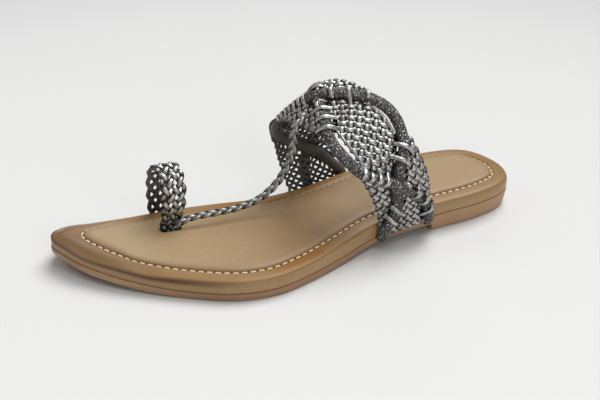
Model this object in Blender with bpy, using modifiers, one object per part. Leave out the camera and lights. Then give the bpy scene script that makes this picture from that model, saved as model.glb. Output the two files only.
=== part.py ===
"""Kolhapuri chappal, a left shoe, made piece by piece in metres with +Z up.

The toe points to +X and the outer side of the foot to +Y. Sizes below are in
millimetres, and the tables give each section as a share of the named sizes.
"""

import math
from collections import namedtuple

import bmesh
import bpy
from mathutils import Matrix, Vector

MM = 0.001
WELD = 2e-6

# Driving sizes of the shoe
LENGTH = 253.7
BALL_WIDTH = 90.0
HEEL_HEIGHT = 17.5
INSTEP_HEIGHT = 82.0
CLEARANCE = 0.3

# Sole sections, heel to toe: station along the length, outer and inner edge as
# shares of the ball width, underside, welt line and seat as shares of the heel height
Section = namedtuple("Section", "station outer inner ground line seat")
SECTIONS = (
    Section(0.000, 0.045, 0.045, 0.000, 0.560, 1.000),
    Section(0.020, 0.211, -0.183, 0.000, 0.560, 1.000),
    Section(0.052, 0.278, -0.260, 0.000, 0.560, 1.000),
    Section(0.123, 0.326, -0.306, 0.000, 0.560, 1.000),
    Section(0.222, 0.336, -0.319, 0.240, 0.556, 0.995),
    Section(0.320, 0.337, -0.313, 0.195, 0.452, 0.940),
    Section(0.391, 0.361, -0.289, 0.150, 0.349, 0.872),
    Section(0.470, 0.437, -0.278, 0.045, 0.272, 0.771),
    Section(0.557, 0.517, -0.306, 0.000, 0.232, 0.680),
    Section(0.635, 0.559, -0.359, 0.000, 0.229, 0.657),
    Section(0.714, 0.520, -0.400, 0.000, 0.229, 0.657),
    Section(0.813, 0.350, -0.433, 0.000, 0.229, 0.663),
    Section(0.903, 0.144, -0.437, 0.135, 0.364, 0.790),
    Section(0.966, -0.061, -0.411, 0.285, 0.514, 0.943),
    Section(0.992, -0.206, -0.350, 0.362, 0.590, 1.020),
    Section(1.000, -0.278, -0.278, 0.371, 0.600, 1.029),
)
HEEL_BREAST = 61.0
BREAST_SLOPE = 0.8
STATIONS = 30

# Sole profiles from the outside in: inset from the edge, and rise from a level
Step = namedtuple("Step", "inset level rise")
OUTSOLE_EDGE = (
    Step(0.8, "ground", 0.0),
    Step(-0.2, "ground", 1.1),
    Step(-0.4, "line", -0.9),
    Step(0.2, "line", 0.0),
)
HEEL_TAPER = 1.7
MIDSOLE_EDGE = (
    Step(1.4, "line", CLEARANCE),
    Step(0.2, "line", 1.6),
    Step(0.0, "seat", -3.6),
    Step(0.7, "seat", -2.0),
    Step(2.4, "seat", -0.8),
    Step(5.2, "seat", 0.0),
)
MIDSOLE_SEAM = (
    Step(-0.5, "seat", -0.5),
    Step(0.3, "seat", -2.0),
)
INSOLE_PAD = (
    Step(0.9, "seat", -1.7),
    Step(0.6, "seat", -1.0),
    Step(1.0, "seat", -0.3),
    Step(3.0, "seat", 0.4),
    Step(8.0, "seat", 0.9),
)
SEAM_INSET = 9.0
TOE_SEAM_EXTRA = 3.0
TOE_SEAM_START = 0.86
SPINE_START = 30.0
SPINE_END = 222.0
RELAX_PASSES = 24

# Instep band: a row for each fold round the foot, front edge and rear edge as shares of
# length, ball width and instep height, the swell between them, and cells to the next row
Fold = namedtuple("Fold", "front rear swell cells")
Edge = namedtuple("Edge", "along across height")
BAND = (
    Fold(Edge(0.382, 0.245, 0.056), Edge(0.251, 0.232, 0.094), 0.0, 2),
    Fold(Edge(0.382, 0.353, 0.056), Edge(0.251, 0.337, 0.094), 0.0, 2),
    Fold(Edge(0.382, 0.380, 0.092), Edge(0.251, 0.365, 0.128), 0.0, 5),
    Fold(Edge(0.391, 0.385, 0.293), Edge(0.257, 0.381, 0.280), 0.3, 5),
    Fold(Edge(0.416, 0.371, 0.477), Edge(0.265, 0.373, 0.463), 0.8, 5),
    Fold(Edge(0.450, 0.302, 0.622), Edge(0.287, 0.294, 0.683), 1.8, 7),
    Fold(Edge(0.477, 0.150, 0.734), Edge(0.322, 0.128, 0.896), 2.8, 6),
    Fold(Edge(0.493, -0.044, 0.729), Edge(0.379, -0.056, 1.000), 3.5, 4),
    Fold(Edge(0.505, -0.189, 0.715), Edge(0.403, -0.178, 0.957), 3.0, 5),
    Fold(Edge(0.512, -0.294, 0.622), Edge(0.397, -0.300, 0.780), 1.6, 6),
    Fold(Edge(0.500, -0.339, 0.421), Edge(0.369, -0.345, 0.524), 0.8, 6),
    Fold(Edge(0.485, -0.317, 0.220), Edge(0.344, -0.339, 0.244), 0.3, 4),
    Fold(Edge(0.471, -0.306, 0.075), Edge(0.328, -0.340, 0.110), 0.0, 2),
    Fold(Edge(0.471, -0.278, 0.037), Edge(0.328, -0.310, 0.074), 0.0, 2),
    Fold(Edge(0.471, -0.170, 0.037), Edge(0.328, -0.200, 0.074), 0.0, 0),
)
BAND_CELLS_ACROSS = 12
BAND_WALL = 1.7
STRIP_RISE = 0.35
FIRST_WOVEN_FOLD = 2.0
LAST_WOVEN_FOLD = 12.0

# Glitter cords of the band: fold and share across from the front edge
Pass = namedtuple("Pass", "fold across")
CORD_RADIUS = 2.6
CORD_LIFT = 0.4
CORD_STEP = 3.6
CORDS = {
    "front cord": (
        Pass(2.35, 0.92), Pass(2.89, 0.88), Pass(3.32, 0.76), Pass(3.65, 0.56),
        Pass(3.95, 0.36), Pass(4.33, 0.13), Pass(5.13, 0.05), Pass(5.83, 0.08),
        Pass(6.40, 0.24), Pass(6.85, 0.41), Pass(7.32, 0.55), Pass(8.00, 0.76),
        Pass(8.86, 0.91), Pass(9.56, 0.91), Pass(10.22, 0.72), Pass(10.61, 0.50),
        Pass(11.10, 0.26), Pass(11.75, 0.10),
    ),
    "rear cord": (
        Pass(2.25, 0.10), Pass(2.60, 0.24), Pass(3.00, 0.36), Pass(3.46, 0.41),
        Pass(3.95, 0.48), Pass(4.50, 0.64), Pass(5.00, 0.82), Pass(5.69, 0.92),
        Pass(6.22, 0.86), Pass(6.77, 0.71), Pass(7.32, 0.55), Pass(8.00, 0.36),
        Pass(8.57, 0.19), Pass(9.11, 0.09), Pass(9.67, 0.08), Pass(10.22, 0.26),
        Pass(10.61, 0.50), Pass(11.10, 0.76), Pass(11.75, 0.91),
    ),
}

# Slits left open beside the cords, and the woven fields that show small gaps
Field = namedtuple("Field", "first last front rear")
SLITS = (
    Field(5.05, 5.90, 0.14, 0.215),
    Field(5.35, 6.20, 0.785, 0.857),
    Field(8.55, 9.45, 0.215, 0.285),
    Field(8.75, 9.65, 0.715, 0.785),
)
GAP_FIELDS = (
    Field(4.60, 6.60, 0.30, 0.72),
    Field(8.30, 9.90, 0.36, 0.64),
    Field(10.70, 11.90, 0.36, 0.64),
)
GAP_SIZE = 0.32

# Toe cord: a round braid of four strands from the band to the toe post
Point = namedtuple("Point", "along across height")
TOE_CORD = (
    Point(0.4975, -0.042, 0.704), Point(0.505, -0.046, 0.590), Point(0.519, -0.055, 0.463),
    Point(0.541, -0.067, 0.357), Point(0.576, -0.078, 0.273), Point(0.620, -0.089, 0.230),
    Point(0.663, -0.100, 0.223), Point(0.702, -0.114, 0.222), Point(0.726, -0.128, 0.205),
    Point(0.737, -0.136, 0.165), Point(0.738, -0.138, 0.098),
)
TOE_CORD_RADIUS = 2.1
TOE_CORD_GROOVE = 0.45
TOE_CORD_STRANDS = 4
TOE_CORD_STEP = 3.2
TOE_CORD_TWIST = 0.42

# Toe ring: an open flat braid of five strands, from the toe post over to the inner edge
Turn = namedtuple("Turn", "along across height half_width rise")
TOE_RING = (
    Turn(0.767, -0.161, 0.083, 4.6, 0.15),
    Turn(0.767, -0.159, 0.150, 4.8, 0.45),
    Turn(0.757, -0.147, 0.285, 6.6, 0.50),
    Turn(0.752, -0.161, 0.422, 7.0, 0.50),
    Turn(0.750, -0.217, 0.495, 7.0, 0.50),
    Turn(0.750, -0.289, 0.520, 7.0, 0.50),
    Turn(0.752, -0.367, 0.489, 7.0, 0.50),
    Turn(0.755, -0.420, 0.405, 6.8, 0.50),
    Turn(0.757, -0.441, 0.262, 6.6, 0.50),
    Turn(0.758, -0.440, 0.122, 6.2, 0.45),
    Turn(0.758, -0.438, 0.070, 6.2, 0.30),
    Turn(0.758, -0.410, 0.0375, 6.0, 0.12),
    Turn(0.758, -0.335, 0.0375, 6.0, 0.12),
)
RING_STRANDS = 5
RING_CROSSING = 3.0
RING_TURN = -0.13
RING_WALL = 1.7
RING_SCALLOP = 1.1
RING_GAP = 0.34
RING_FOOT_CELLS = 2

# Cut-outs: slot for the toe post, and rebates in the outsole for the strap ends
SLOT_CENTRE = (192.3, -13.8)
SLOT_LENGTH = 15.6
SLOT_WIDTH = 5.4
SLOT_FLOOR = 6.2
Rebate = namedtuple("Rebate", "first last low_floor high_floor side reach")
REBATES = {
    "outer rebate": Rebate(63.2, 97.5, 4.1, 7.3, 1, 19.5),
    "inner rebate": Rebate(82.6, 120.1, 2.5, 5.6, -1, 13.5),
    "toe rebate": Rebate(185.3, 199.3, 1.7, 1.7, -1, 28.5),
}
REBATE_WIDTH = 60.0
REBATE_HEIGHT = 12.0

# Finish: base colour, roughness, metallic
Finish = namedtuple("Finish", "colour roughness metallic")
FINISHES = {
    "outsole": Finish((0.262, 0.130, 0.066, 1.0), 0.50, 0.0),
    "midsole": Finish((0.330, 0.195, 0.098, 1.0), 0.38, 0.0),
    "insole": Finish((0.445, 0.325, 0.195, 1.0), 0.55, 0.0),
    "upper_instep_band": Finish((0.150, 0.145, 0.138, 1.0), 0.35, 0.7),
    "upper_toe_cord": Finish((0.170, 0.162, 0.155, 1.0), 0.35, 0.7),
    "upper_toe_ring": Finish((0.120, 0.115, 0.108, 1.0), 0.35, 0.7),
}


def smooth_path(points, steps, closed=False):
    """Curve through the points, eased by chord length, with steps per span."""
    last = len(points)
    spans = last if closed else last - 1
    path = []
    for span in range(spans):
        corners = []
        for offset in (-1, 0, 1, 2):
            index = span + offset
            if closed:
                corners.append(points[index % last])
            elif index < 0:
                corners.append(points[0] * 2.0 - points[1])
            elif index >= last:
                corners.append(points[-1] * 2.0 - points[-2])
            else:
                corners.append(points[index])
        for step in range(steps):
            path.append(span_point(corners, step / steps))
    if not closed:
        path.append(points[-1].copy())
    return path


def span_point(corners, share):
    """Point on the span between the two middle corners, eased by chord length."""
    before, start, end, after = corners
    chord = [max(math.sqrt((b - a).length), 1e-6) for a, b in zip(corners, corners[1:])]
    leave = (start - before) / chord[0] - (end - before) / (chord[0] + chord[1])
    leave = (leave + (end - start) / chord[1]) * chord[1]
    arrive = (end - start) / chord[1] - (after - start) / (chord[1] + chord[2])
    arrive = (arrive + (after - end) / chord[2]) * chord[1]
    square = share * share
    cube = square * share
    return (start * (2 * cube - 3 * square + 1) + leave * (cube - 2 * square + share)
            + end * (3 * square - 2 * cube) + arrive * (cube - square))


def even_steps(path, step):
    """Resample a path so that its points lie about one step apart."""
    lengths = [0.0]
    for start, end in zip(path, path[1:]):
        lengths.append(lengths[-1] + (end - start).length)
    count = max(2, round(lengths[-1] / step))
    result = []
    span = 0
    for index in range(count + 1):
        target = lengths[-1] * index / count
        while span < len(path) - 2 and lengths[span + 1] < target:
            span += 1
        share = (target - lengths[span]) / max(lengths[span + 1] - lengths[span], 1e-9)
        result.append(path[span].lerp(path[span + 1], share))
    return result


def section_points(rows):
    """Each table row as a point in millimetres."""
    return [Vector((row.along * LENGTH, row.across * BALL_WIDTH, row.height * INSTEP_HEIGHT))
            for row in rows]


def level_at(name, x):
    """Height of one sole level at a distance from the heel."""
    station = min(max(x / LENGTH, 0.0), 1.0)
    if name == "ground" and x < HEEL_BREAST:
        return 0.0
    points = [Vector((row.station, getattr(row, name))) for row in SECTIONS]
    for span, (start, end) in enumerate(zip(points, points[1:])):
        if station <= end.x:
            break
    before = points[max(span - 1, 0)]
    after = points[min(span + 2, len(points) - 1)]
    width = end.x - start.x
    share = (station - start.x) / width
    leave = (end.y - before.y) / (end.x - before.x) * width
    arrive = (after.y - start.y) / (after.x - start.x) * width
    square = share * share
    cube = square * share
    value = (start.y * (2 * cube - 3 * square + 1) + leave * (cube - 2 * square + share)
             + end.y * (3 * square - 2 * cube) + arrive * (cube - square))
    return max(value, 0.0) * HEEL_HEIGHT


def sole_ring():
    """Outline of the sole as matched stations: heel tip, outer side, toe tip, inner side."""
    outer = [Vector((row.station * LENGTH, row.outer * BALL_WIDTH)) for row in SECTIONS]
    inner = [Vector((row.station * LENGTH, row.inner * BALL_WIDTH)) for row in SECTIONS]
    steps = 12
    outline = smooth_path(outer + inner[-2:0:-1], steps, closed=True)
    toe = (len(SECTIONS) - 1) * steps
    halves = (outline[:toe + 1], [outline[0]] + outline[:toe - 1:-1])
    distances = [LENGTH * (1.0 - math.cos(math.pi * index / STATIONS)) / 2.0
                 for index in range(1, STATIONS)]
    distances = [x for x in distances if abs(x - HEEL_BREAST) > 2.5]
    distances += [HEEL_BREAST - BREAST_SLOPE / 2.0, HEEL_BREAST + BREAST_SLOPE / 2.0]
    distances.sort()
    sides = []
    for half in halves:
        side = []
        for x in distances:
            for start, end in zip(half, half[1:]):
                if start.x <= x <= end.x:
                    share = (x - start.x) / max(end.x - start.x, 1e-9)
                    side.append(start.lerp(end, share))
                    break
        sides.append(side)
    return [outline[0]] + sides[0] + [outline[toe]] + sides[1][::-1]


def inset_ring(ring, inset):
    """Outline moved inwards, with an inset that may change along the shoe."""
    moved = []
    for index, point in enumerate(ring):
        along = ring[(index + 1) % len(ring)] - ring[index - 1]
        inward = Vector((along.y, -along.x)).normalized()
        moved.append(point + inward * inset(point.x))
    return moved


def toward_spine(ring, distance):
    """Ring drawn in towards the middle line of the foot, which stops short of both ends."""
    drawn = []
    for index, point in enumerate(ring):
        partner = ring[-index]
        spine = Vector((min(max(point.x, SPINE_START), SPINE_END), (point.y + partner.y) / 2.0))
        drawn.append(point + (spine - point).normalized() * distance)
    return drawn


def relaxed(ring):
    """Ring with its tight bends eased round the toe, where the inset is wide."""
    for _ in range(RELAX_PASSES):
        eased = list(ring)
        for index, point in enumerate(ring):
            if point.x > SPINE_END:
                neighbours = ring[index - 1] + ring[(index + 1) % len(ring)]
                eased[index] = point * 0.5 + neighbours * 0.25
        ring = eased
    return ring


def seam_inset(x):
    """Distance of the stitch line from the edge, wider round the toe."""
    share = min(max((x / LENGTH - TOE_SEAM_START) / (1.0 - TOE_SEAM_START), 0.0), 1.0)
    return SEAM_INSET + TOE_SEAM_EXTRA * share * share * (3.0 - 2.0 * share)


def new_object(name, mesh, group):
    """Object in a collection, made from a mesh in metres."""
    piece = bpy.data.objects.new(name, mesh)
    group.objects.link(piece)
    return piece


def loft_sole(name, rings, group):
    """Closed solid through rings of matched stations, laid flat across at both ends."""
    shell = bmesh.new()
    loops = [[shell.verts.new(point * MM) for point in ring] for ring in rings]
    count = len(loops[0])
    for low, high in zip(loops, loops[1:]):
        for index in range(count):
            following = (index + 1) % count
            shell.faces.new((low[index], high[index], high[following], low[following]))
    for loop in (loops[0], loops[-1]):
        half = count // 2
        shell.faces.new((loop[0], loop[1], loop[-1]))
        for index in range(1, half - 1):
            shell.faces.new((loop[index], loop[index + 1], loop[-index - 1], loop[-index]))
        shell.faces.new((loop[half - 1], loop[half], loop[half + 1]))
    bmesh.ops.recalc_face_normals(shell, faces=shell.faces)
    if shell.calc_volume(signed=True) < 0.0:
        bmesh.ops.reverse_faces(shell, faces=shell.faces)
    mesh = bpy.data.meshes.new(name)
    shell.to_mesh(mesh)
    shell.free()
    return new_object(name, mesh, group)


def ring_level(flat, step):
    """One ring of a sole profile with its heights."""
    return [Vector((point.x, point.y, level_at(step.level, point.x) + step.rise)) for point in flat]


def seam_levels(ring, steps):
    """Rings of a profile that is measured inwards from the stitch line."""
    seam = relaxed(inset_ring(ring, seam_inset))
    return [ring_level(toward_spine(seam, step.inset), step) for step in steps]


def build_outsole(ring, group):
    """Outsole with its low heel, a little wider than the midsole."""
    rings = []
    for index, step in enumerate(OUTSOLE_EDGE):
        taper = HEEL_TAPER * (len(OUTSOLE_EDGE) - 1 - index) / (len(OUTSOLE_EDGE) - 1)

        def inset(x, step=step, taper=taper):
            return step.inset + (taper if x < HEEL_BREAST else 0.0)

        rings.append(ring_level(inset_ring(ring, inset), step))
    return loft_sole("outsole", rings, group)


def build_midsole(ring, group):
    """Footbed board with its rolled rim and a hollow for the insole."""
    rings = []
    for step in MIDSOLE_EDGE:
        flat = inset_ring(ring, lambda x, step=step: step.inset)
        rings.append(ring_level(flat, step))
    return loft_sole("midsole", rings + seam_levels(ring, MIDSOLE_SEAM), group)


def build_insole(ring, group):
    """Padded sock that crowns inside the stitch line."""
    return loft_sole("insole", seam_levels(ring, INSOLE_PAD), group)


def band_edges():
    """Front and rear edge of the band through its folds, with steps for each fold."""
    steps = 12
    front = smooth_path(section_points([fold.front for fold in BAND]), steps)
    rear = smooth_path(section_points([fold.rear for fold in BAND]), steps)
    swell = smooth_path([Vector((fold.swell, 0.0, 0.0)) for fold in BAND], steps)
    return front, rear, swell, steps


def path_at(path, steps, fold):
    """Point of a path at a fold number with a fraction."""
    place = min(max(fold * steps, 0.0), len(path) - 1.0)
    index = min(int(place), len(path) - 2)
    return path[index].lerp(path[index + 1], place - index)


def band_point(edges, fold, across, lift):
    """Point on the band: fold round the foot, share across, lift off the outer face."""
    front, rear, swell, steps = edges
    reach = 0.15
    start = path_at(front, steps, fold)
    end = path_at(rear, steps, fold)
    ahead = path_at(front, steps, fold + reach) + path_at(rear, steps, fold + reach)
    behind = path_at(front, steps, fold - reach) + path_at(rear, steps, fold - reach)
    chord = end - start
    normal = chord.cross(ahead - behind).normalized()
    rise = path_at(swell, steps, fold).x
    tilt = rise * 4.0 * (1.0 - 2.0 * across) / chord.length
    outward = (normal - chord.normalized() * tilt).normalized()
    return start.lerp(end, across) + normal * (rise * 4.0 * across * (1.0 - across)) + outward * lift


def inside_field(fields, fold, across):
    """True where a place on the band lies in one of the fields."""
    return any(field.first <= fold <= field.last and field.front <= across <= field.rear
               for field in fields)


def woven_wall(name, cells, slit_at, gap_at, gap_size, place, group):
    """Woven wall: a flat pattern of cells with its gaps cut, bent to shape and given thickness.

    Nodes of even count are crossings, where strips stand up, and the others lie between strips.
    """
    bpy.ops.mesh.primitive_grid_add(x_subdivisions=cells[0], y_subdivisions=cells[1], size=1.0)
    wall = bpy.context.object
    wall.name = wall.data.name = name
    pattern = bmesh.new()
    pattern.from_mesh(wall.data)
    for vert in pattern.verts:
        vert.co.x = round((vert.co.x + 0.5) * cells[0])
        vert.co.y = round((vert.co.y + 0.5) * cells[1])
    if slit_at:
        middles = [(face, face.calc_center_median()) for face in pattern.faces]
        slits = [face for face, middle in middles if slit_at(middle.x, middle.y)]
        bmesh.ops.delete(pattern, geom=slits, context="FACES")
    corners = [vert for vert in pattern.verts if gap_at(round(vert.co.x), round(vert.co.y))]
    opened = bmesh.ops.bevel(pattern, geom=corners, offset=gap_size, offset_type="OFFSET",
                             segments=1, profile=0.5, affect="VERTICES")
    bmesh.ops.delete(pattern, geom=opened["faces"], context="FACES")
    rises = []
    for vert in pattern.verts:
        point, rise = place(vert.co.x, vert.co.y)
        vert.co = point * MM
        rises.append(rise)
    pattern.to_mesh(wall.data)
    pattern.free()
    thickest = max(rises)
    thickness = wall.vertex_groups.new(name="thickness")
    for index, rise in enumerate(rises):
        thickness.add([index], rise / thickest, "REPLACE")
    solid = wall.modifiers.new("wall", "SOLIDIFY")
    solid.thickness = thickest * MM
    solid.offset = 1.0
    solid.vertex_group = thickness.name
    for old in list(wall.users_collection):
        old.objects.unlink(wall)
    group.objects.link(wall)
    settle(wall)
    return wall


def build_band(group, cutters):
    """Woven wall bent over the instep, with its slits, gaps and the two cords."""
    edges = band_edges()
    columns = [0.0]
    for number, fold in enumerate(BAND[:-1]):
        columns += [number + step / fold.cells for step in range(1, fold.cells + 1)]
    cells = len(columns) - 1

    def fold_at(x):
        index = min(int(x), cells - 1)
        return columns[index] + (columns[index + 1] - columns[index]) * (x - index)

    def across_at(y):
        return 1.0 - y / BAND_CELLS_ACROSS

    def place_on_band(x, y):
        fold = fold_at(x)
        woven = FIRST_WOVEN_FOLD < fold < LAST_WOVEN_FOLD
        weave = math.cos(math.pi * x) * math.cos(math.pi * y)
        point = band_point(edges, fold, across_at(y), -BAND_WALL)
        return point, BAND_WALL + (STRIP_RISE * weave if woven else 0.0)

    def slit_at(x, y):
        return inside_field(SLITS, fold_at(x), across_at(y))

    def gap_at(x, y):
        return (x + y) % 2 == 1 and inside_field(GAP_FIELDS, fold_at(x), across_at(y))

    band = woven_wall("upper_instep_band", (cells, BAND_CELLS_ACROSS), slit_at, gap_at, GAP_SIZE,
                      place_on_band, group)
    for name, rows in CORDS.items():
        path = smooth_path([Vector((row.fold, row.across, 0.0)) for row in rows], 8)
        points = [band_point(edges, place.x, place.y, CORD_LIFT) for place in path]
        cord = tube(name, even_steps(points, CORD_STEP), CORD_RADIUS, cutters)
        combine(band, cord, "UNION")
    fill_hollows(band)
    return band


def poly_curve(name, points, closed=False):
    """Curve object data with straight spans through points in millimetres."""
    curve = bpy.data.curves.new(name, "CURVE")
    curve.dimensions = "3D"
    curve.twist_mode = "MINIMUM"
    spline = curve.splines.new("POLY")
    spline.points.add(len(points) - 1)
    for target, point in zip(spline.points, points):
        target.co = (point.x * MM, point.y * MM, point.z * MM, 1.0)
    spline.use_cyclic_u = closed
    return curve


def tube(name, points, radius, group):
    """Round cord along a path, as a closed mesh with flat ends."""
    curve = poly_curve(name, points)
    curve.bevel_depth = radius * MM
    curve.bevel_resolution = 1
    curve.use_fill_caps = True
    return mesh_from_curve(name, curve, group)


def mesh_from_curve(name, curve, group):
    """Closed mesh of a bevelled curve, which replaces the curve."""
    rail = new_object(name + " rail", curve, group)
    graph = bpy.context.evaluated_depsgraph_get()
    mesh = bpy.data.meshes.new_from_object(rail.evaluated_get(graph))
    bpy.data.objects.remove(rail)
    shell = bmesh.new()
    shell.from_mesh(mesh)
    bmesh.ops.remove_doubles(shell, verts=shell.verts, dist=1e-7)
    bmesh.ops.recalc_face_normals(shell, faces=shell.faces)
    shell.to_mesh(mesh)
    shell.free()
    mesh.name = name
    return new_object(name, mesh, group)


def build_toe_cord(group, cutters):
    """Round braid from the band down to the toe post, its strands raised in a twist."""
    points = even_steps(smooth_path(section_points(TOE_CORD), 12), TOE_CORD_STEP)
    lobes = []
    for index in range(TOE_CORD_STRANDS * 2):
        angle = math.pi * index / TOE_CORD_STRANDS
        radius = TOE_CORD_RADIUS - (TOE_CORD_GROOVE if index % 2 else 0.0)
        lobes.append(Vector((radius * math.cos(angle), radius * math.sin(angle), 0.0)))
    profile = new_object("toe cord profile", poly_curve("toe cord profile", lobes, closed=True), cutters)
    curve = poly_curve("upper_toe_cord", points)
    for index, point in enumerate(curve.splines[0].points):
        point.tilt = TOE_CORD_TWIST * index
    curve.bevel_mode = "OBJECT"
    curve.bevel_object = profile
    curve.use_fill_caps = True
    cord = mesh_from_curve("upper_toe_cord", curve, group)
    as_guide(profile)
    return cord


def build_toe_ring(group):
    """Open flat braid round the big toe: one wall with its strands raised and gaps between."""
    width_axis = Vector((1.0, RING_TURN, 0.0)).normalized()
    centre = smooth_path(section_points(TOE_RING), 12)
    shape = smooth_path([Vector((row.half_width, row.rise, 0.0)) for row in TOE_RING], 12)
    middle = even_steps(centre, RING_CROSSING)
    cells = len(middle) - 1
    sizes = []
    for point in middle:
        nearest = min(range(len(centre)), key=lambda index: (centre[index] - point).length)
        sizes.append(shape[nearest])

    def place_on_ring(x, y):
        index = min(int(x), cells - 1)
        share = x - index
        along = middle[index + 1] - middle[index]
        outward = along.cross(width_axis).normalized()
        half_width, rise, _ = sizes[index].lerp(sizes[index + 1], share)
        swing = 2.0 * y / RING_STRANDS - 1.0
        edge = abs(swing) ** 4 * RING_SCALLOP * (1.0 - math.cos(math.pi * (x + y))) / 2.0
        point = middle[index].lerp(middle[index + 1], share)
        point = point + width_axis * (swing * (half_width - edge)) - outward * (RING_WALL / 2.0)
        return point, RING_WALL + rise * math.cos(math.pi * x) * math.cos(math.pi * y)

    def gap_at(x, y):
        inside = 0 < y < RING_STRANDS and RING_FOOT_CELLS < x < cells - RING_FOOT_CELLS
        return inside and (x + y) % 2 == 1

    return woven_wall("upper_toe_ring", (cells, RING_STRANDS), None, gap_at, RING_GAP, place_on_ring, group)


def fill_hollows(piece):
    """Weld slivers and close hollows shut in between joined solids, leaving the outer skin."""
    shell = bmesh.new()
    shell.from_mesh(piece.data)
    bmesh.ops.triangulate(shell, faces=shell.faces)
    bmesh.ops.remove_doubles(shell, verts=shell.verts, dist=WELD)
    bmesh.ops.dissolve_degenerate(shell, edges=shell.edges, dist=WELD)
    waiting = set(shell.faces)
    skins = []
    while waiting:
        front = [waiting.pop()]
        skin = list(front)
        while front:
            face = front.pop()
            for edge in face.edges:
                for other in edge.link_faces:
                    if other in waiting:
                        waiting.remove(other)
                        front.append(other)
                        skin.append(other)
        skins.append(skin)
    skins.sort(key=len)
    inner = [face for skin in skins[:-1] for face in skin]
    bmesh.ops.delete(shell, geom=inner, context="FACES")
    shell.to_mesh(piece.data)
    shell.free()


def as_guide(piece):
    """Keep a helper out of the picture."""
    piece.hide_render = True
    piece.display_type = "WIRE"


def settle(piece):
    """Turn an object's modifiers into its mesh."""
    graph = bpy.context.evaluated_depsgraph_get()
    graph.update()
    mesh = bpy.data.meshes.new_from_object(piece.evaluated_get(graph))
    old = piece.data
    piece.modifiers.clear()
    piece.data = mesh
    bpy.data.meshes.remove(old)
    mesh.name = piece.name


def combine(piece, other, operation):
    """Join another solid to a piece, or cut it out."""
    as_guide(other)
    cut = piece.modifiers.new(other.name, "BOOLEAN")
    cut.operation = operation
    cut.solver = "EXACT"
    cut.object = other
    settle(piece)


def box_cutter(name, size, place, turn, group):
    """Box to cut with, in millimetres."""
    bpy.ops.mesh.primitive_cube_add(size=1.0)
    box = bpy.context.object
    box.name = name
    box.data.transform(Matrix.Diagonal((*size, 1.0)))
    box.data.transform(turn.to_4x4())
    box.data.transform(Matrix.Translation(Vector(place)))
    box.data.transform(Matrix.Scale(MM, 4))
    for old in list(box.users_collection):
        old.objects.unlink(box)
    group.objects.link(box)
    as_guide(box)
    return box


def rebate_cutter(name, rebate, group):
    """Wedge-bottomed box over a strap end, its floor sloping with the shank."""
    run = rebate.last - rebate.first
    slope = math.atan2(rebate.high_floor - rebate.low_floor, run)
    middle_floor = (rebate.high_floor + rebate.low_floor) / 2.0
    place = ((rebate.first + rebate.last) / 2.0 + math.sin(slope) * REBATE_HEIGHT / 2.0,
             rebate.side * (rebate.reach + REBATE_WIDTH / 2.0),
             middle_floor + math.cos(slope) * REBATE_HEIGHT / 2.0)
    size = (run / math.cos(slope), REBATE_WIDTH, REBATE_HEIGHT)
    return box_cutter(name, size, place, Matrix.Rotation(slope, 3, "Y"), group)


def paint(piece):
    """Give a piece its own material."""
    finish = FINISHES[piece.name]
    material = bpy.data.materials.new(piece.name)
    material.use_nodes = True
    shader = material.node_tree.nodes["Principled BSDF"]
    shader.inputs["Base Color"].default_value = finish.colour
    shader.inputs["Roughness"].default_value = finish.roughness
    shader.inputs["Metallic"].default_value = finish.metallic
    material.diffuse_color = finish.colour
    piece.data.materials.clear()
    piece.data.materials.append(material)


def place_origin(pieces):
    """Move all pieces so that the origin lies on the floor under the middle of the shoe."""
    corners = [vert.co for piece in pieces for vert in piece.data.vertices]
    shift = Vector((-(min(c.x for c in corners) + max(c.x for c in corners)) / 2.0,
                    -(min(c.y for c in corners) + max(c.y for c in corners)) / 2.0,
                    -min(c.z for c in corners)))
    for piece in pieces:
        piece.data.transform(Matrix.Translation(shift))
    print("shift in millimetres", [round(value / MM, 3) for value in shift])


def main():
    """Build every piece of the shoe."""
    for old in list(bpy.data.objects):
        bpy.data.objects.remove(old, do_unlink=True)
    group = bpy.data.collections.new("kolhapuri chappal")
    cutters = bpy.data.collections.new("cutters")
    bpy.context.scene.collection.children.link(group)
    bpy.context.scene.collection.children.link(cutters)

    ring = sole_ring()
    outsole = build_outsole(ring, group)
    midsole = build_midsole(ring, group)
    insole = build_insole(ring, group)
    band = build_band(group, cutters)
    toe_cord = build_toe_cord(group, cutters)
    toe_ring = build_toe_ring(group)

    for name, rebate in REBATES.items():
        combine(outsole, rebate_cutter(name, rebate, cutters), "DIFFERENCE")
    slot_top = INSTEP_HEIGHT
    slot = box_cutter("toe slot", (SLOT_LENGTH, SLOT_WIDTH, slot_top - SLOT_FLOOR),
                      (*SLOT_CENTRE, (slot_top + SLOT_FLOOR) / 2.0),
                      Matrix.Rotation(math.atan(RING_TURN), 3, "Z"), cutters)
    combine(midsole, slot, "DIFFERENCE")
    combine(insole, slot, "DIFFERENCE")

    pieces = (outsole, midsole, insole, band, toe_cord, toe_ring)
    place_origin(pieces)
    for piece in pieces:
        paint(piece)
    for piece in (band, toe_cord, insole):
        piece.data.shade_smooth()


main()
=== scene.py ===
"""Kolhapuri chappal, a left shoe, in a studio: sole, woven instep band, toe cord and toe ring.

The toe points to +X and the outer side of the foot to +Y. Shapes are worked out in millimetres
from the back of the heel, and each finished piece is placed in metres in the frame's own space.
"""

import logging
import math
from dataclasses import dataclass, field
from enum import Enum
from typing import Any, Optional, Sequence, Union

import bmesh
import bpy
import numpy as np
from mathutils import Matrix, Vector


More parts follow.
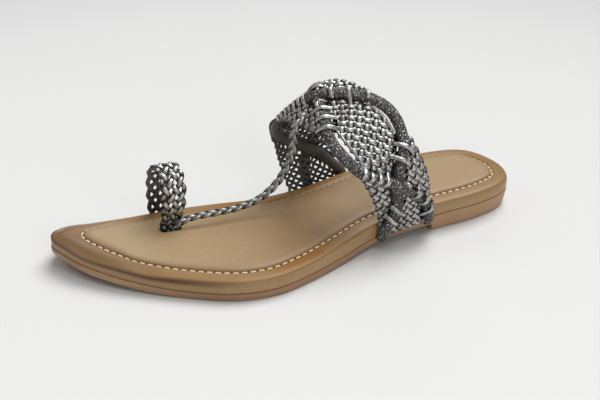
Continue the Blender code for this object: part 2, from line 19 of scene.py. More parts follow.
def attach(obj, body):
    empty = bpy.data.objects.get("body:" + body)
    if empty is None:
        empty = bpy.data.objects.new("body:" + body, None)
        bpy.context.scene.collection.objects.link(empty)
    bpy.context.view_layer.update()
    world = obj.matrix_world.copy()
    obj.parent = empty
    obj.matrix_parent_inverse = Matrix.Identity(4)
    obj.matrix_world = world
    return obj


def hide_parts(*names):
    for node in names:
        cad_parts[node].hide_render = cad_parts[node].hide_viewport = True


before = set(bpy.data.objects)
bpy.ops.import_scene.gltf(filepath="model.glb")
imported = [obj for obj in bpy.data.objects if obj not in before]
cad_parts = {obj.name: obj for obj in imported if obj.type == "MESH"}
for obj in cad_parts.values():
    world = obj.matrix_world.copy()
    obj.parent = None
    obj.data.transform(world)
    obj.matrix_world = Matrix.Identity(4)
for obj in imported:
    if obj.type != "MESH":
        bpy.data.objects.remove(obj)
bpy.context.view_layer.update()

MM = 0.001
HEEL_TO_ORIGIN = np.array((127.05, 4.284, 0.0))
LENGTH = 253.7
BALL_WIDTH = 90.0
HEEL_HEIGHT = 17.5
INSTEP_HEIGHT = 82.0
SMALLEST = 1e-9
SHORTEST_CHORD = 1e-6
SPAN_STEPS = 40
log = logging.getLogger("chappal")

Point = tuple[float, float, float]
Colour = Point


class Level(Enum):
    """Heights of the sole that its profiles are measured from."""

    GROUND = "ground"
    LINE = "line"
    SEAT = "seat"


class Origin(Enum):
    """Line of the sole that a profile step is measured inwards from."""

    EDGE = "edge"
    SEAM = "seam"


class Side(Enum):
    """How a strip meets a cord of the band."""

    OVER = 1.0
    UNDER = -1.0


@dataclass(frozen=True)
class Section:
    """Sole section: edges as shares of the ball width, levels as shares of the heel height."""

    station: float
    outer: float
    inner: float
    ground: float
    line: float
    seat: float


@dataclass(frozen=True)
class Step:
    """One step of a sole profile: distance inwards, rise off a level, taper, burnish with painted
    shade, and roll.
    """

    inset: float
    level: Level
    rise: float
    origin: Origin = Origin.EDGE
    taper: float = 0.0
    burnish_and_shade: float = 0.0
    roll: float = 0.0


@dataclass(frozen=True)
class Fold:
    """One fold of the band round the foot: front and rear edge, and the swell between them."""

    front: Point
    rear: Point
    swell: float


@dataclass(frozen=True)
class Turn:
    """One place along the toe ring: middle point as shares, and half width."""

    middle: Point
    half_width: float


@dataclass(frozen=True)
class Field:
    """Stretch of the band beside a cord, between two folds."""

    cord: str
    first: float
    last: float
    width: float = 0.0
    panel: float = 0.0
    lanes: int = 1
    first_lane: int = 0


@dataclass(frozen=True)
class Crease:
    """Soft trough or ridge across the rim: station and side of the foot, half length and rise."""

    x: float
    side: float
    reach: float
    rise: float


SECTIONS: tuple[Section, ...] = (
    Section(0.000, 0.045, 0.045, 0.000, 0.560, 1.000),
    Section(0.020, 0.211, -0.183, 0.000, 0.560, 1.000),
    Section(0.052, 0.278, -0.260, 0.000, 0.560, 1.000),
    Section(0.123, 0.326, -0.306, 0.000, 0.560, 1.000),
    Section(0.222, 0.336, -0.319, 0.240, 0.556, 0.995),
    Section(0.320, 0.337, -0.313, 0.195, 0.452, 0.940),
    Section(0.391, 0.361, -0.289, 0.150, 0.349, 0.872),
    Section(0.470, 0.437, -0.278, 0.045, 0.272, 0.771),
    Section(0.557, 0.517, -0.306, 0.000, 0.232, 0.680),
    Section(0.635, 0.559, -0.359, 0.000, 0.229, 0.657),
    Section(0.714, 0.520, -0.400, 0.000, 0.229, 0.657),
    Section(0.813, 0.350, -0.433, 0.015, 0.229, 0.663),
    Section(0.903, 0.144, -0.437, 0.125, 0.364, 0.790),
    Section(0.966, -0.061, -0.411, 0.280, 0.514, 0.943),
    Section(0.992, -0.206, -0.350, 0.392, 0.590, 1.020),
    Section(1.000, -0.278, -0.278, 0.410, 0.600, 1.029),
)

FOLDS: tuple[Fold, ...] = (
    Fold((0.382, 0.245, 0.056), (0.251, 0.232, 0.094), 0.0),
    Fold((0.382, 0.353, 0.056), (0.251, 0.337, 0.094), 0.0),
    Fold((0.382, 0.380, 0.092), (0.251, 0.365, 0.128), 0.0),
    Fold((0.391, 0.385, 0.293), (0.257, 0.381, 0.280), 0.3),
    Fold((0.416, 0.371, 0.477), (0.265, 0.373, 0.463), 0.8),
    Fold((0.450, 0.302, 0.622), (0.287, 0.294, 0.683), 1.8),
    Fold((0.477, 0.150, 0.734), (0.322, 0.128, 0.896), 2.8),
    Fold((0.493, -0.044, 0.729), (0.379, -0.056, 1.000), 3.5),
    Fold((0.505, -0.189, 0.715), (0.403, -0.178, 0.957), 3.0),
    Fold((0.512, -0.294, 0.622), (0.397, -0.300, 0.780), 1.6),
    Fold((0.500, -0.339, 0.421), (0.369, -0.345, 0.524), 0.8),
    Fold((0.485, -0.317, 0.220), (0.344, -0.339, 0.244), 0.3),
    Fold((0.471, -0.306, 0.075), (0.328, -0.340, 0.110), 0.0),
    Fold((0.471, -0.278, 0.037), (0.328, -0.310, 0.074), 0.0),
    Fold((0.471, -0.170, 0.037), (0.328, -0.200, 0.074), 0.0),
)

# Glitter cords of the band: fold, share across from the front edge, and lift off the wall
CORDS: dict[str, tuple[Point, ...]] = {
    "front": (
        (1.70, 0.93, -0.6), (2.35, 0.92, 0.0), (2.89, 0.88, 0.4), (3.32, 0.76, 0.4),
        (3.65, 0.56, 0.5), (3.95, 0.40, 0.7), (4.33, 0.13, 0.4), (5.13, 0.05, 0.2),
        (5.83, 0.08, 0.2), (6.40, 0.24, -0.1), (6.85, 0.41, -1.0), (7.32, 0.55, -2.9),
        (8.00, 0.78, -2.6), (8.86, 0.91, -1.4), (9.56, 0.90, 0.2), (9.95, 0.80, 0.5),
        (10.30, 0.60, 0.8), (10.70, 0.46, 1.3), (11.10, 0.42, 1.9), (11.75, 0.40, 1.9),
        (12.60, 0.40, 0.6),
    ),
    "rear": (
        (1.70, 0.08, -0.6), (2.25, 0.10, 0.0), (2.60, 0.24, 0.3), (3.00, 0.36, 0.2),
        (3.46, 0.41, -0.8), (3.95, 0.48, -2.2), (4.50, 0.64, 0.0), (5.00, 0.82, 0.3),
        (5.69, 0.92, 0.3), (6.22, 0.86, 0.2), (6.77, 0.71, -0.2), (7.32, 0.55, -0.3),
        (8.00, 0.36, -2.6), (8.57, 0.19, -1.7), (9.11, 0.09, -0.2), (9.55, 0.15, 0.1),
        (10.00, 0.40, -0.5), (10.30, 0.60, -2.0), (10.65, 0.80, 0.0), (11.20, 0.97, 0.0),
        (11.75, 1.00, 0.0), (12.60, 0.98, -0.6),
    ),
}
SLITS: tuple[Field, ...] = (
    Field("front", 4.62, 6.10, 2.5, 1.0),
    Field("rear", 5.25, 6.25, 1.3, -1.0),
    Field("front", 8.50, 9.80, 1.6, -1.0),
)
WRAPS: tuple[Field, ...] = (
    Field("front", 2.3, 3.55, lanes=2), Field("front", 4.00, 4.66),
    Field("front", 6.0, 7.05, lanes=2), Field("front", 9.9, 10.6, lanes=2),
    Field("rear", 1.9, 3.1, lanes=2), Field("rear", 4.45, 5.2, lanes=2),
    Field("rear", 5.9, 7.15, lanes=2, first_lane=1), Field("rear", 7.6, 8.8),
    Field("rear", 9.2, 11.3), Field("rear", 11.3, 12.0, lanes=2), Field("front", 7.6, 8.9),
)
RIM_CREASES: tuple[Crease, ...] = (
    Crease(203.0, 1.0, 9.0, 0.22), Crease(218.0, 1.0, 6.0, -0.38),
    Crease(229.0, 1.0, 7.0, 0.30), Crease(240.5, 1.0, 4.5, -0.42),
    Crease(248.0, 1.0, 3.0, 0.28), Crease(247.0, -1.0, 3.0, -0.40),
    Crease(238.0, -1.0, 6.0, 0.20), Crease(30.0, 1.0, 10.0, 0.15),
    Crease(96.0, 1.0, 14.0, -0.18),
)

TOE_CORD: tuple[Point, ...] = (
    (0.505, -0.046, 0.590), (0.519, -0.055, 0.463), (0.541, -0.067, 0.357), (0.576, -0.078, 0.273),
    (0.620, -0.087, 0.235), (0.663, -0.097, 0.226), (0.702, -0.108, 0.224), (0.731, -0.118, 0.214),
    (0.750, -0.126, 0.188), (0.762, -0.131, 0.142), (0.766, -0.134, 0.085),
)

TOE_RING: tuple[Turn, ...] = (
    Turn((0.767, -0.161, 0.083), 4.6), Turn((0.767, -0.159, 0.150), 4.8),
    Turn((0.757, -0.147, 0.285), 6.6), Turn((0.752, -0.161, 0.422), 7.0),
    Turn((0.750, -0.217, 0.495), 7.0), Turn((0.750, -0.289, 0.520), 7.0),
    Turn((0.752, -0.367, 0.489), 7.0), Turn((0.755, -0.420, 0.405), 6.8),
    Turn((0.757, -0.441, 0.262), 6.6), Turn((0.758, -0.440, 0.122), 6.2),
    Turn((0.758, -0.438, 0.070), 6.2), Turn((0.758, -0.410, 0.0375), 6.0),
    Turn((0.758, -0.335, 0.0375), 6.0),
)


def unit(vectors: np.ndarray) -> np.ndarray:
    """Vectors brought to length one."""
    return vectors / np.maximum(np.linalg.norm(vectors, axis=-1, keepdims=True), SMALLEST)


def shares_to_mm(rows: Sequence[Point]) -> np.ndarray:
    """Table rows in shares of length, ball width and instep height, as millimetres."""
    return np.array(rows) * (LENGTH, BALL_WIDTH, INSTEP_HEIGHT)


def to_frame(points: np.ndarray) -> np.ndarray:
    """Millimetres from the heel as metres in the frame's space."""
    return (points - HEEL_TO_ORIGIN) * MM


def arc_lengths(path: np.ndarray) -> np.ndarray:
    """Distance of each point of a path from its start."""
    return np.concatenate(([0.0], np.cumsum(np.linalg.norm(np.diff(path, axis=0), axis=1))))


def eased(values: np.ndarray, low: float, high: float) -> np.ndarray:
    """Soft step of values, from 0 at the low one to 1 at the high one."""
    share = np.clip((values - low) / (high - low), 0.0, 1.0)
    return share ** 2 * (3.0 - 2.0 * share)


def at_marks(places: np.ndarray, marks: np.ndarray, path: np.ndarray) -> np.ndarray:
    """Points of a path at places among its marks."""
    return np.stack([np.interp(places, marks, column) for column in path.T], axis=-1)


def on_spline(share: np.ndarray, start: Any, leave: Any, end: Any, arrive: Any) -> np.ndarray:
    """Values along a span of a smooth curve.

    Args:
        share: Shares of the span.
        start: Value at its start.
        leave: Slope at its start.
        end: Value at its end.
        arrive: Slope at its end.

    Returns:
        A value for each share.
    """
    square, cube = share ** 2, share ** 3
    return (start * (2 * cube - 3 * square + 1) + leave * (cube - 2 * square + share)
            + end * (3 * square - 2 * cube) + arrive * (cube - square))


def smooth_path(points: np.ndarray, steps: int, closed: bool = False) -> np.ndarray:
    """Curve through points, eased by chord length.

    Args:
        points: Rows of coordinates.
        steps: Steps in each span.
        closed: Whether the last point joins the first.

    Returns:
        Rows of coordinates along the curve.
    """
    count = len(points)
    share = np.arange(steps)[:, None] / steps
    path = []
    for span in range(count if closed else count - 1):
        if closed:
            near = (points[(span + offset) % count] for offset in (-1, 0, 1, 2))
            before, start, end, after = near
        else:
            start, end = points[span], points[span + 1]
            before = points[span - 1] if span else 2.0 * start - end
            after = points[span + 2] if span + 2 < count else 2.0 * end - start
        chord = [max(math.sqrt(np.linalg.norm(b - a)), SHORTEST_CHORD)
                 for a, b in ((before, start), (start, end), (end, after))]
        leave = (start - before) / chord[0] - (end - before) / (chord[0] + chord[1])
        leave = (leave + (end - start) / chord[1]) * chord[1]
        arrive = (end - start) / chord[1] - (after - start) / (chord[1] + chord[2])
        arrive = (arrive + (after - end) / chord[2]) * chord[1]
        path.append(on_spline(share, start, leave, end, arrive))
    if not closed:
        path.append(points[-1:])
    return np.concatenate(path)


def resampled(path: np.ndarray, count: int) -> np.ndarray:
    """Path with its points spread evenly along it."""
    lengths = arc_lengths(path)
    return at_marks(np.linspace(0.0, lengths[-1], count), lengths, path)


def deselect() -> None:
    """Leave nothing selected, so that operators act on the new piece alone."""
    bpy.ops.object.select_all(action="DESELECT")


def choose(piece: bpy.types.Object) -> None:
    """Make one piece the selected and active one.

    Args:
        piece: The piece.
    """
    deselect()
    piece.select_set(True)
    bpy.context.view_layer.objects.active = piece


def turn_outwards() -> None:
    """Turn all faces of the piece in edit mode outwards, and leave edit mode."""
    bpy.ops.mesh.select_all(action="SELECT")
    bpy.ops.mesh.normals_make_consistent(inside=False)
    bpy.ops.object.mode_set(mode="OBJECT")


def keep_on_points(mesh: bpy.types.Mesh, key: str, values: np.ndarray) -> None:
    """Keep a value on each point of a mesh for its finish to read."""
    layer = mesh.attributes.new(key, "FLOAT", "POINT")
    layer.data.foreach_set("value", values.astype(np.float32))


class Signal:
    """Output of a node, which can be used in sums."""

    def __init__(self, graph: "Graph", socket: bpy.types.NodeSocket) -> None:
        """Keep the graph and the socket."""
        self.graph = graph
        self.socket = socket

    def maths(self, operation: str, first: "Value", second: "Value") -> "Signal":
        """Math node on two values."""
        return self.graph.node("ShaderNodeMath", {"operation": operation}, {0: first, 1: second})

    def __add__(self, other: "Value") -> "Signal":
        """Sum."""
        return self.maths("ADD", self, other)

    def __radd__(self, other: "Value") -> "Signal":
        """Sum, reflected."""
        return self.maths("ADD", other, self)

    def __sub__(self, other: "Value") -> "Signal":
        """Difference."""
        return self.maths("SUBTRACT", self, other)

    def __rsub__(self, other: "Value") -> "Signal":
        """Difference, reflected."""
        return self.maths("SUBTRACT", other, self)

    def __mul__(self, other: "Value") -> "Signal":
        """Product."""
        return self.maths("MULTIPLY", self, other)

    def __rmul__(self, other: "Value") -> "Signal":
        """Product, reflected."""
        return self.maths("MULTIPLY", other, self)

    def between(self, low: float, high: float) -> "Signal":
        """Soft step between two values.

        Args:
            low: Value that gives 0.
            high: Value that gives 1, on either side of the other.

        Returns:
            The step.
        """
        if high < low:
            return 1.0 - self.between(high, low)
        settings = {"interpolation_type": "SMOOTHSTEP"}
        return self.graph.node("ShaderNodeMapRange", settings,
                               {"Value": self, "From Min": low, "From Max": high})


Value = Union[Signal, float]
Tone = Union[Signal, Colour]


class Graph:
    """Node tree of one material."""

    def __init__(self, name: str) -> None:
        """Start a material with its shader.

        Args:
            name: Name of the finish.
        """
        self.material = bpy.data.materials.new(name)
        self.material.use_nodes = True
        self.tree = self.material.node_tree
        self.shader = self.tree.nodes["Principled BSDF"]

    def feed(self, socket: bpy.types.NodeSocket, value: Any) -> None:
        """Link a signal to a socket, or set its value.

        Args:
            socket: The socket.
            value: A signal, a number or a colour.
        """
        if isinstance(value, Signal):
            self.tree.links.new(value.socket, socket)
        elif isinstance(value, tuple) and len(socket.default_value) == 4:
            socket.default_value = (*value, 1.0)
        else:
            socket.default_value = value

    def node(self, kind: str, settings: dict[str, Any], inputs: dict[Any, Any],
             output: Union[int, str] = 0) -> Signal:
        """Add a node.

        Args:
            kind: Node type.
            settings: Settings of the node, set first.
            inputs: Values or signals for its sockets.
            output: Which of its outputs is wanted.

        Returns:
            That output.
        """
        made = self.tree.nodes.new(kind)
        for key, value in settings.items():
            setattr(made, key, value)
        for key, value in inputs.items():
            self.feed(made.inputs[key], value)
        return Signal(self, made.outputs[output])

    def place(self) -> Signal:
        """Place on the piece, in metres."""
        return self.node("ShaderNodeTexCoord", {}, {}, "Object")

    def along(self) -> Signal:
        """Distance along the shoe, in metres from the middle."""
        return self.node("ShaderNodeSeparateXYZ", {}, {0: self.place()}, "X")

    def attribute(self, name: str) -> Signal:
        """Value kept on the piece's points."""
        return self.node("ShaderNodeAttribute", {"attribute_name": name}, {}, "Fac")

    def noise(self, scale: float, detail: float = 2.0, stretch: Optional[Point] = None) -> Signal:
        """Cloudy noise.

        Args:
            scale: Clouds in a metre.
            detail: How many finer layers it has.
            stretch: Scale along each axis, where it isn't even.

        Returns:
            The noise.
        """
        vector = self.place()
        if stretch:
            turned = {"Vector": vector, "Scale": Vector(stretch)}
            vector = self.node("ShaderNodeMapping", {}, turned)
        inputs = {"Vector": vector, "Scale": scale, "Detail": detail}
        return self.node("ShaderNodeTexNoise", {}, inputs)

    def cells(self, scale: float, output: str = "Distance") -> Signal:
        """Cell pattern."""
        inputs = {"Vector": self.place(), "Scale": scale}
        return self.node("ShaderNodeTexVoronoi", {}, inputs, output)

    def mix(self, share: Value, first: Tone, second: Tone) -> Signal:
        """Blend of two colours."""
        inputs = {0: share, 6: first, 7: second}
        return self.node("ShaderNodeMix", {"data_type": "RGBA"}, inputs, 2)

    def bump(self, height: Signal, distance: float, strength: float,
             under: Optional[Signal] = None) -> Signal:
        """Relief for a shader.

        Args:
            height: Height, from 0 to 1.
            distance: Height of 1 in metres.
            strength: How strongly it shows.
            under: Another relief that it lies on.

        Returns:
            The relief.
        """
        inputs: dict[Any, Any] = {"Height": height, "Distance": distance, "Strength": strength}
        if under:
            inputs["Normal"] = under
        return self.node("ShaderNodeBump", {}, inputs)

    def finish(self, **sockets: Any) -> bpy.types.Material:
        """Set the shader's sockets.

        Args:
            sockets: Values or signals, named with underscores for spaces.

        Returns:
            The material.
        """
        for name, value in sockets.items():
            self.feed(self.shader.inputs[name.replace("_", " ")], value)
        return self.material


@dataclass(frozen=True)
class FootbedLeather:
    """Smooth vegetable-tanned leather, burnished towards its edges and the toe, with painted shade
    in places, painted light on its side wall and a painted sheen towards the toe.
    """

    name: str
    tone: Colour
    warm: Colour
    # Dark tone for burnish and for painted shade.
    burnt_and_shade: Colour
    # Side wall tone, made lighter as painted light from the front.
    wall: Colour
    # Paler tone for the painted sheen towards the toe.
    pale: Colour
    roughness: float
    coat: float
    # Amount of burnish and painted shade.
    burnish_and_shade: float
    sheen: float
    amber: Colour = (0.288, 0.122, 0.010)
    pore_scale: float = 1500.0

    def make(self) -> bpy.types.Material:
        """Leather with clouds, pores, and burnish and painted shade by distance from the edge.

        Returns:
            The material.
        """
        graph = Graph(self.name)
        edge = graph.attribute("inset")
        along = graph.along()
        cloud = graph.noise(34.0, 3.0, (0.6, 1.0, 1.0))
        fine = graph.noise(420.0, 3.0)
        seam = edge.between(5.0, 8.6) * (1.0 - edge.between(9.2, 15.0))
        ball = along.between(-0.060, 0.0) * along.between(0.070, 0.038)
        warm = seam * 0.55 + cloud.between(0.45, 0.75) * 0.25 + ball * 0.36
        colour = graph.mix(warm, self.tone, self.warm)
        # Lighter tone on the side wall: painted light from the front.
        colour = graph.mix(edge.between(0.5, 0.1), colour, self.wall)
        # Paler, less saturated tone towards the toe: painted sheen.
        colour = graph.mix(along.between(0.048, 0.092) * edge.between(9.0, 15.0), colour, self.pale)
        # Painted shadow of the band: darker insole at the waist, beside the seams on both sides.
        band_shade = along.between(0.050, -0.005) * along.between(-0.075, -0.035)
        band_shade = band_shade * edge.between(8.0, 11.0) * edge.between(28.0, 13.0)
        colour = graph.mix(band_shade * 0.34, colour, self.burnt_and_shade)
        top = edge.between(0.8, 2.2)
        amber = along.between(-0.006, 0.012) * along.between(0.044, 0.026)
        amber = amber * edge.between(8.9, 7.4) * top
        colour = graph.mix(amber * 0.85, colour, self.amber)
        # Extra burnish and painted shade at the toe end: painted shade on the wall below the
        # shoulder, burnish on the rim's top at the tip, and a little more at the heel end.
        ends = along.between(0.045, 0.085) * (1.0 - top) + along.between(0.078, 0.118) * top * 0.85
        ends = ends + along.between(-0.085, -0.120) * 0.15
        burn_and_shade = graph.attribute("burnish_and_shade") * (self.burnish_and_shade + ends)
        colour = graph.mix(burn_and_shade * (0.75 + 0.5 * cloud), colour, self.burnt_and_shade)
        colour = graph.mix(fine.between(0.35, 0.7) * 0.10, colour, self.burnt_and_shade)
        pores = graph.cells(self.pore_scale)
        grain = graph.bump(pores, 0.00008, 0.22)
        grain = graph.bump(cloud, 0.0012, 0.10, grain)
        rough = self.roughness - 0.12 * burn_and_shade * top + 0.10 * fine
        return graph.finish(Base_Color=colour, Roughness=rough, Normal=grain,
                            Coat_Weight=self.coat + 0.60 * burn_and_shade * top, Coat_Roughness=0.30,
                            Specular_IOR_Level=self.sheen)


@dataclass(frozen=True)
class SoleLeather:
    """Reddish outsole leather with a cut edge, a dark line where it meets the board, and painted
    shade towards the ball.
    """

    name: str = "outsole leather"
    tone: Colour = (0.452, 0.270, 0.150)
    pale: Colour = (0.525, 0.350, 0.218)
    # Darker tone for clouds, the joint line, and painted shade towards the ball.
    dark: Colour = (0.250, 0.130, 0.070)

    def make(self) -> bpy.types.Material:
        """Leather with fibre streaks along the cut edge.

        Returns:
            The material.
        """
        graph = Graph(self.name)
        rise = graph.attribute("rise")
        streaks = graph.noise(60.0, 4.0, (0.35, 0.35, 9.0))
        cloud = graph.noise(28.0, 3.0)
        colour = graph.mix(streaks.between(0.40, 0.68) * 0.55, self.tone, self.pale)
        colour = graph.mix(cloud.between(0.5, 0.8) * 0.35, colour, self.dark)
        colour = graph.mix(rise.between(0.93, 1.0) * 0.40, colour, self.dark)
        # Darker from the waist to the ball: painted shade where the outsole's edge curves under.
        along = graph.along()
        ball = along.between(-0.060, 0.0) * along.between(0.110, 0.060)
        colour = graph.mix(ball * 0.50, colour, self.dark)
        relief = graph.bump(streaks, 0.0004, 0.25)
        return graph.finish(Base_Color=colour, Roughness=0.46 + 0.14 * streaks, Normal=relief,
                            Specular_IOR_Level=0.35)


@dataclass(frozen=True)
class PewterStrip:
    """Metallic strip leather, bright on its face, with painted shade at its cut edges and where it
    dips under, and plain on its back.
    """

    name: str
    tone: Colour = (0.560, 0.546, 0.530)
    shade: Colour = (0.210, 0.203, 0.194)
    # Near black tone for painted shade on the strips' sides and where they dip under.
    edge: Colour = (0.022, 0.021, 0.020)
    back: Colour = (0.350, 0.340, 0.328)
    # Height in metres under which painted shade darkens the strips near the toe post; none when 0.
    post: float = 0.0

    def make(self) -> bpy.types.Material:
        """Foil leather with fine wrinkles, rubbed darker in places, with painted shade under
        crossings, on its sides and low by the toe post.

        Returns:
            The material.
        """
        graph = Graph(self.name)
        section = graph.attribute("face")
        face = section.between(0.10, 0.75)
        crown = graph.attribute("crown").between(-0.32, 0.62)
        inner = section.between(-0.1, -0.6)
        cloud = graph.noise(120.0, 3.0)
        wrinkle = graph.noise(900.0, 3.0)
        colour = graph.mix(cloud.between(0.45, 0.72) * 0.7, self.tone, self.shade)
        colour = graph.mix(wrinkle.between(0.52, 0.75) * 0.35, colour, self.shade)
        # Painted shade where a strip dips under its neighbours.
        colour = graph.mix(crown, self.edge, colour)
        # Painted shade on the strips' sides, between neighbours; the back keeps its plain tone.
        colour = graph.mix(face, graph.mix(inner, self.edge, self.back), colour)
        # Painted shade low down by the toe post.
        if self.post:
            height = graph.node("ShaderNodeSeparateXYZ", {}, {0: graph.place()}, "Z")
            colour = graph.mix(height.between(self.post, 0.5 * self.post) * 0.62, colour, self.edge)
        relief = graph.bump(wrinkle, 0.00025, 0.5)
        rough = 0.30 + 0.14 * wrinkle + 0.25 * (1.0 - face)
        metal = 0.35 + 0.55 * face
        return graph.finish(Base_Color=colour, Roughness=rough, Metallic=metal, Normal=relief)


@dataclass(frozen=True)
class Glitter:
    """Cord cover of tiny dark beads, some bright with painted glints, plain on its inner side."""

    name: str = "glitter cord"
    dark: Colour = (0.060, 0.059, 0.056)
    tone: Colour = (0.300, 0.295, 0.284)
    # Tone of the painted glints on a few random beads.
    spark: Colour = (0.850, 0.840, 0.820)
    back: Colour = (0.120, 0.117, 0.112)
    bead_scale: float = 1500.0

    def make(self) -> bpy.types.Material:
        """Bead by bead tone with painted glint specks on the outer side.

        Returns:
            The material.
        """
        graph = Graph(self.name)
        face = graph.attribute("face").between(-0.6, 0.1)
        cell = graph.cells(self.bead_scale, "Color")
        chance = graph.node("ShaderNodeSeparateColor", {}, {0: cell}, 0)
        other = graph.node("ShaderNodeSeparateColor", {}, {0: cell}, 1)
        bead = graph.cells(self.bead_scale)
        colour = graph.mix(other, self.dark, self.tone)
        # Painted glints on a few random beads.
        colour = graph.mix(chance.between(0.84, 0.90), colour, self.spark)
        colour = graph.mix(bead.between(0.35, 0.62), colour, self.dark)
        colour = graph.mix(1.0 - face, colour, self.back)
        relief = graph.bump((1.0 - bead) * face, 0.0005, 0.8)
        rough = 0.28 + 0.2 * other + 0.3 * (1.0 - face)
        return graph.finish(Base_Color=colour, Roughness=rough, Normal=relief,
                            Metallic=0.25 + 0.5 * face)


@dataclass(frozen=True)
class Thread:
    """Waxed cream sewing thread."""

    name: str = "seam thread"
    tone: Colour = (0.820, 0.730, 0.595)
    shade: Colour = (0.580, 0.480, 0.360)

    def make(self) -> bpy.types.Material:
        """Thread with a fine fibre and soiled places.

        Returns:
            The material.
        """
        graph = Graph(self.name)
        cloud = graph.noise(90.0, 2.0)
        fibre = graph.noise(2600.0, 2.0)
        colour = graph.mix(cloud.between(0.5, 0.8) * 0.5, self.tone, self.shade)
        relief = graph.bump(fibre, 0.0002, 0.5)
        return graph.finish(Base_Color=colour, Roughness=0.62 + 0.1 * fibre, Normal=relief)


@dataclass(frozen=True)
class Paper:
    """Pale matt studio floor."""

    name: str = "studio floor"
    tone: Colour = (0.735, 0.735, 0.727)
    tone_cool: Colour = (0.720, 0.723, 0.723)
    # Tone of the painted shade far away on the floor.
    far: Colour = (0.540, 0.560, 0.556)

    def make(self) -> bpy.types.Material:
        """Plain paper with a hardly visible cloud, darkened far away by painted shade.

        Returns:
            The material.
        """
        graph = Graph(self.name)
        length = {"operation": "LENGTH"}
        away = graph.node("ShaderNodeVectorMath", length, {0: graph.place()}, "Value")
        cloud = graph.noise(2.0, 2.0)
        colour = graph.mix(cloud.between(0.4, 0.7) * 0.25, self.tone, self.tone_cool)
        # Painted shade: the floor darkens away from the shoe, as light falls off.
        colour = graph.mix(away.between(0.28, 0.75), colour, self.far)
        return graph.finish(Base_Color=colour, Roughness=0.75, Specular_IOR_Level=0.2)


def dress(piece: bpy.types.Object, material: bpy.types.Material, slot: str, *nodes: str) -> None:
    """Give a piece its material and tie it to the shoe.

    Args:
        piece: The piece.
        material: Its finish.
        slot: The record's slot that the finish belongs to; not used.
        nodes: The frame's nodes that the piece stands for.
    """
    piece.data.materials.clear()
    piece.data.materials.append(material)
    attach(piece, "root")
    if nodes:
        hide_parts(*nodes)
    log.info("%s: %d faces", piece.name, len(piece.data.polygons))


class RingForm:
    """Form modelled from a circle, extruded ring by ring and bridged shut at both ends."""

    cuts = 11
    start_radius = 0.1

    def __init__(self, name: str, first: np.ndarray) -> None:
        """Lay out the first ring.

        Args:
            name: Name of the piece.
            first: Points of the ring, in metres.
        """
        deselect()
        bpy.ops.mesh.primitive_circle_add(vertices=len(first), radius=self.start_radius,
                                          fill_type="NOTHING")
        self.piece = bpy.context.object
        self.piece.name = self.piece.data.name = name
        bpy.ops.object.mode_set(mode="EDIT")
        bpy.ops.mesh.select_mode(type="VERT")
        bpy.ops.mesh.select_all(action="SELECT")
        self.first = list(range(len(first)))
        self.last = self.first
        self.lay(first)

    def shape(self) -> bmesh.types.BMesh:
        """The mesh in edit mode.

        Returns:
            The mesh, with its points numbered.
        """
        mesh = bmesh.from_edit_mesh(self.piece.data)
        mesh.verts.ensure_lookup_table()
        mesh.verts.index_update()
        return mesh

    def lay(self, ring: np.ndarray) -> None:
        """Move the last ring's points to their places.

        Args:
            ring: The places, in metres.
        """
        mesh = self.shape()
        for index, point in zip(self.last, ring):
            mesh.verts[index].co = point
        bmesh.update_edit_mesh(self.piece.data)

    def extrude(self, ring: np.ndarray) -> None:
        """Extrude the last ring to a new one.

        Args:
            ring: Points of the new ring, in metres.
        """
        bpy.ops.mesh.extrude_region_move()
        mesh = self.shape()
        following = []
        for index in self.last:
            vert = mesh.verts[index]
            others = (edge.other_vert(vert) for edge in vert.link_edges)
            following.append(next(other.index for other in others if other.select))
        self.last = following
        self.lay(ring)

    def pick(self, *chains: Sequence[int]) -> None:
        """Select the edges along chains of points.

        Args:
            chains: Numbers of the points.
        """
        bpy.ops.mesh.select_all(action="DESELECT")
        mesh = self.shape()
        for chain in chains:
            for start, end in zip(chain, chain[1:]):
                edge = mesh.edges.get((mesh.verts[start], mesh.verts[end]))
                edge.select_set(True)
        bmesh.update_edit_mesh(self.piece.data)

    def bridge(self, ring: Sequence[int]) -> None:
        """Close a ring across, from the outer side to the inner one.

        Args:
            ring: Numbers of its points.
        """
        half = len(ring) // 2
        bpy.ops.mesh.select_mode(type="EDGE")
        self.pick(ring[1:half], ring[:half:-1])
        bpy.ops.mesh.bridge_edge_loops(number_cuts=self.cuts, interpolation="LINEAR",
                                       smoothness=0.0)
        for corner in ((ring[-1], ring[0], ring[1]), (ring[half - 1], ring[half], ring[half + 1])):
            self.pick(corner)
            bpy.ops.mesh.edge_face_add()

    def close(self) -> bpy.types.Object:
        """Close both ends, turn the faces outwards and leave edit mode.

        Returns:
            The piece.
        """
        self.bridge(self.first)
        self.bridge(self.last)
        turn_outwards()
        return self.piece


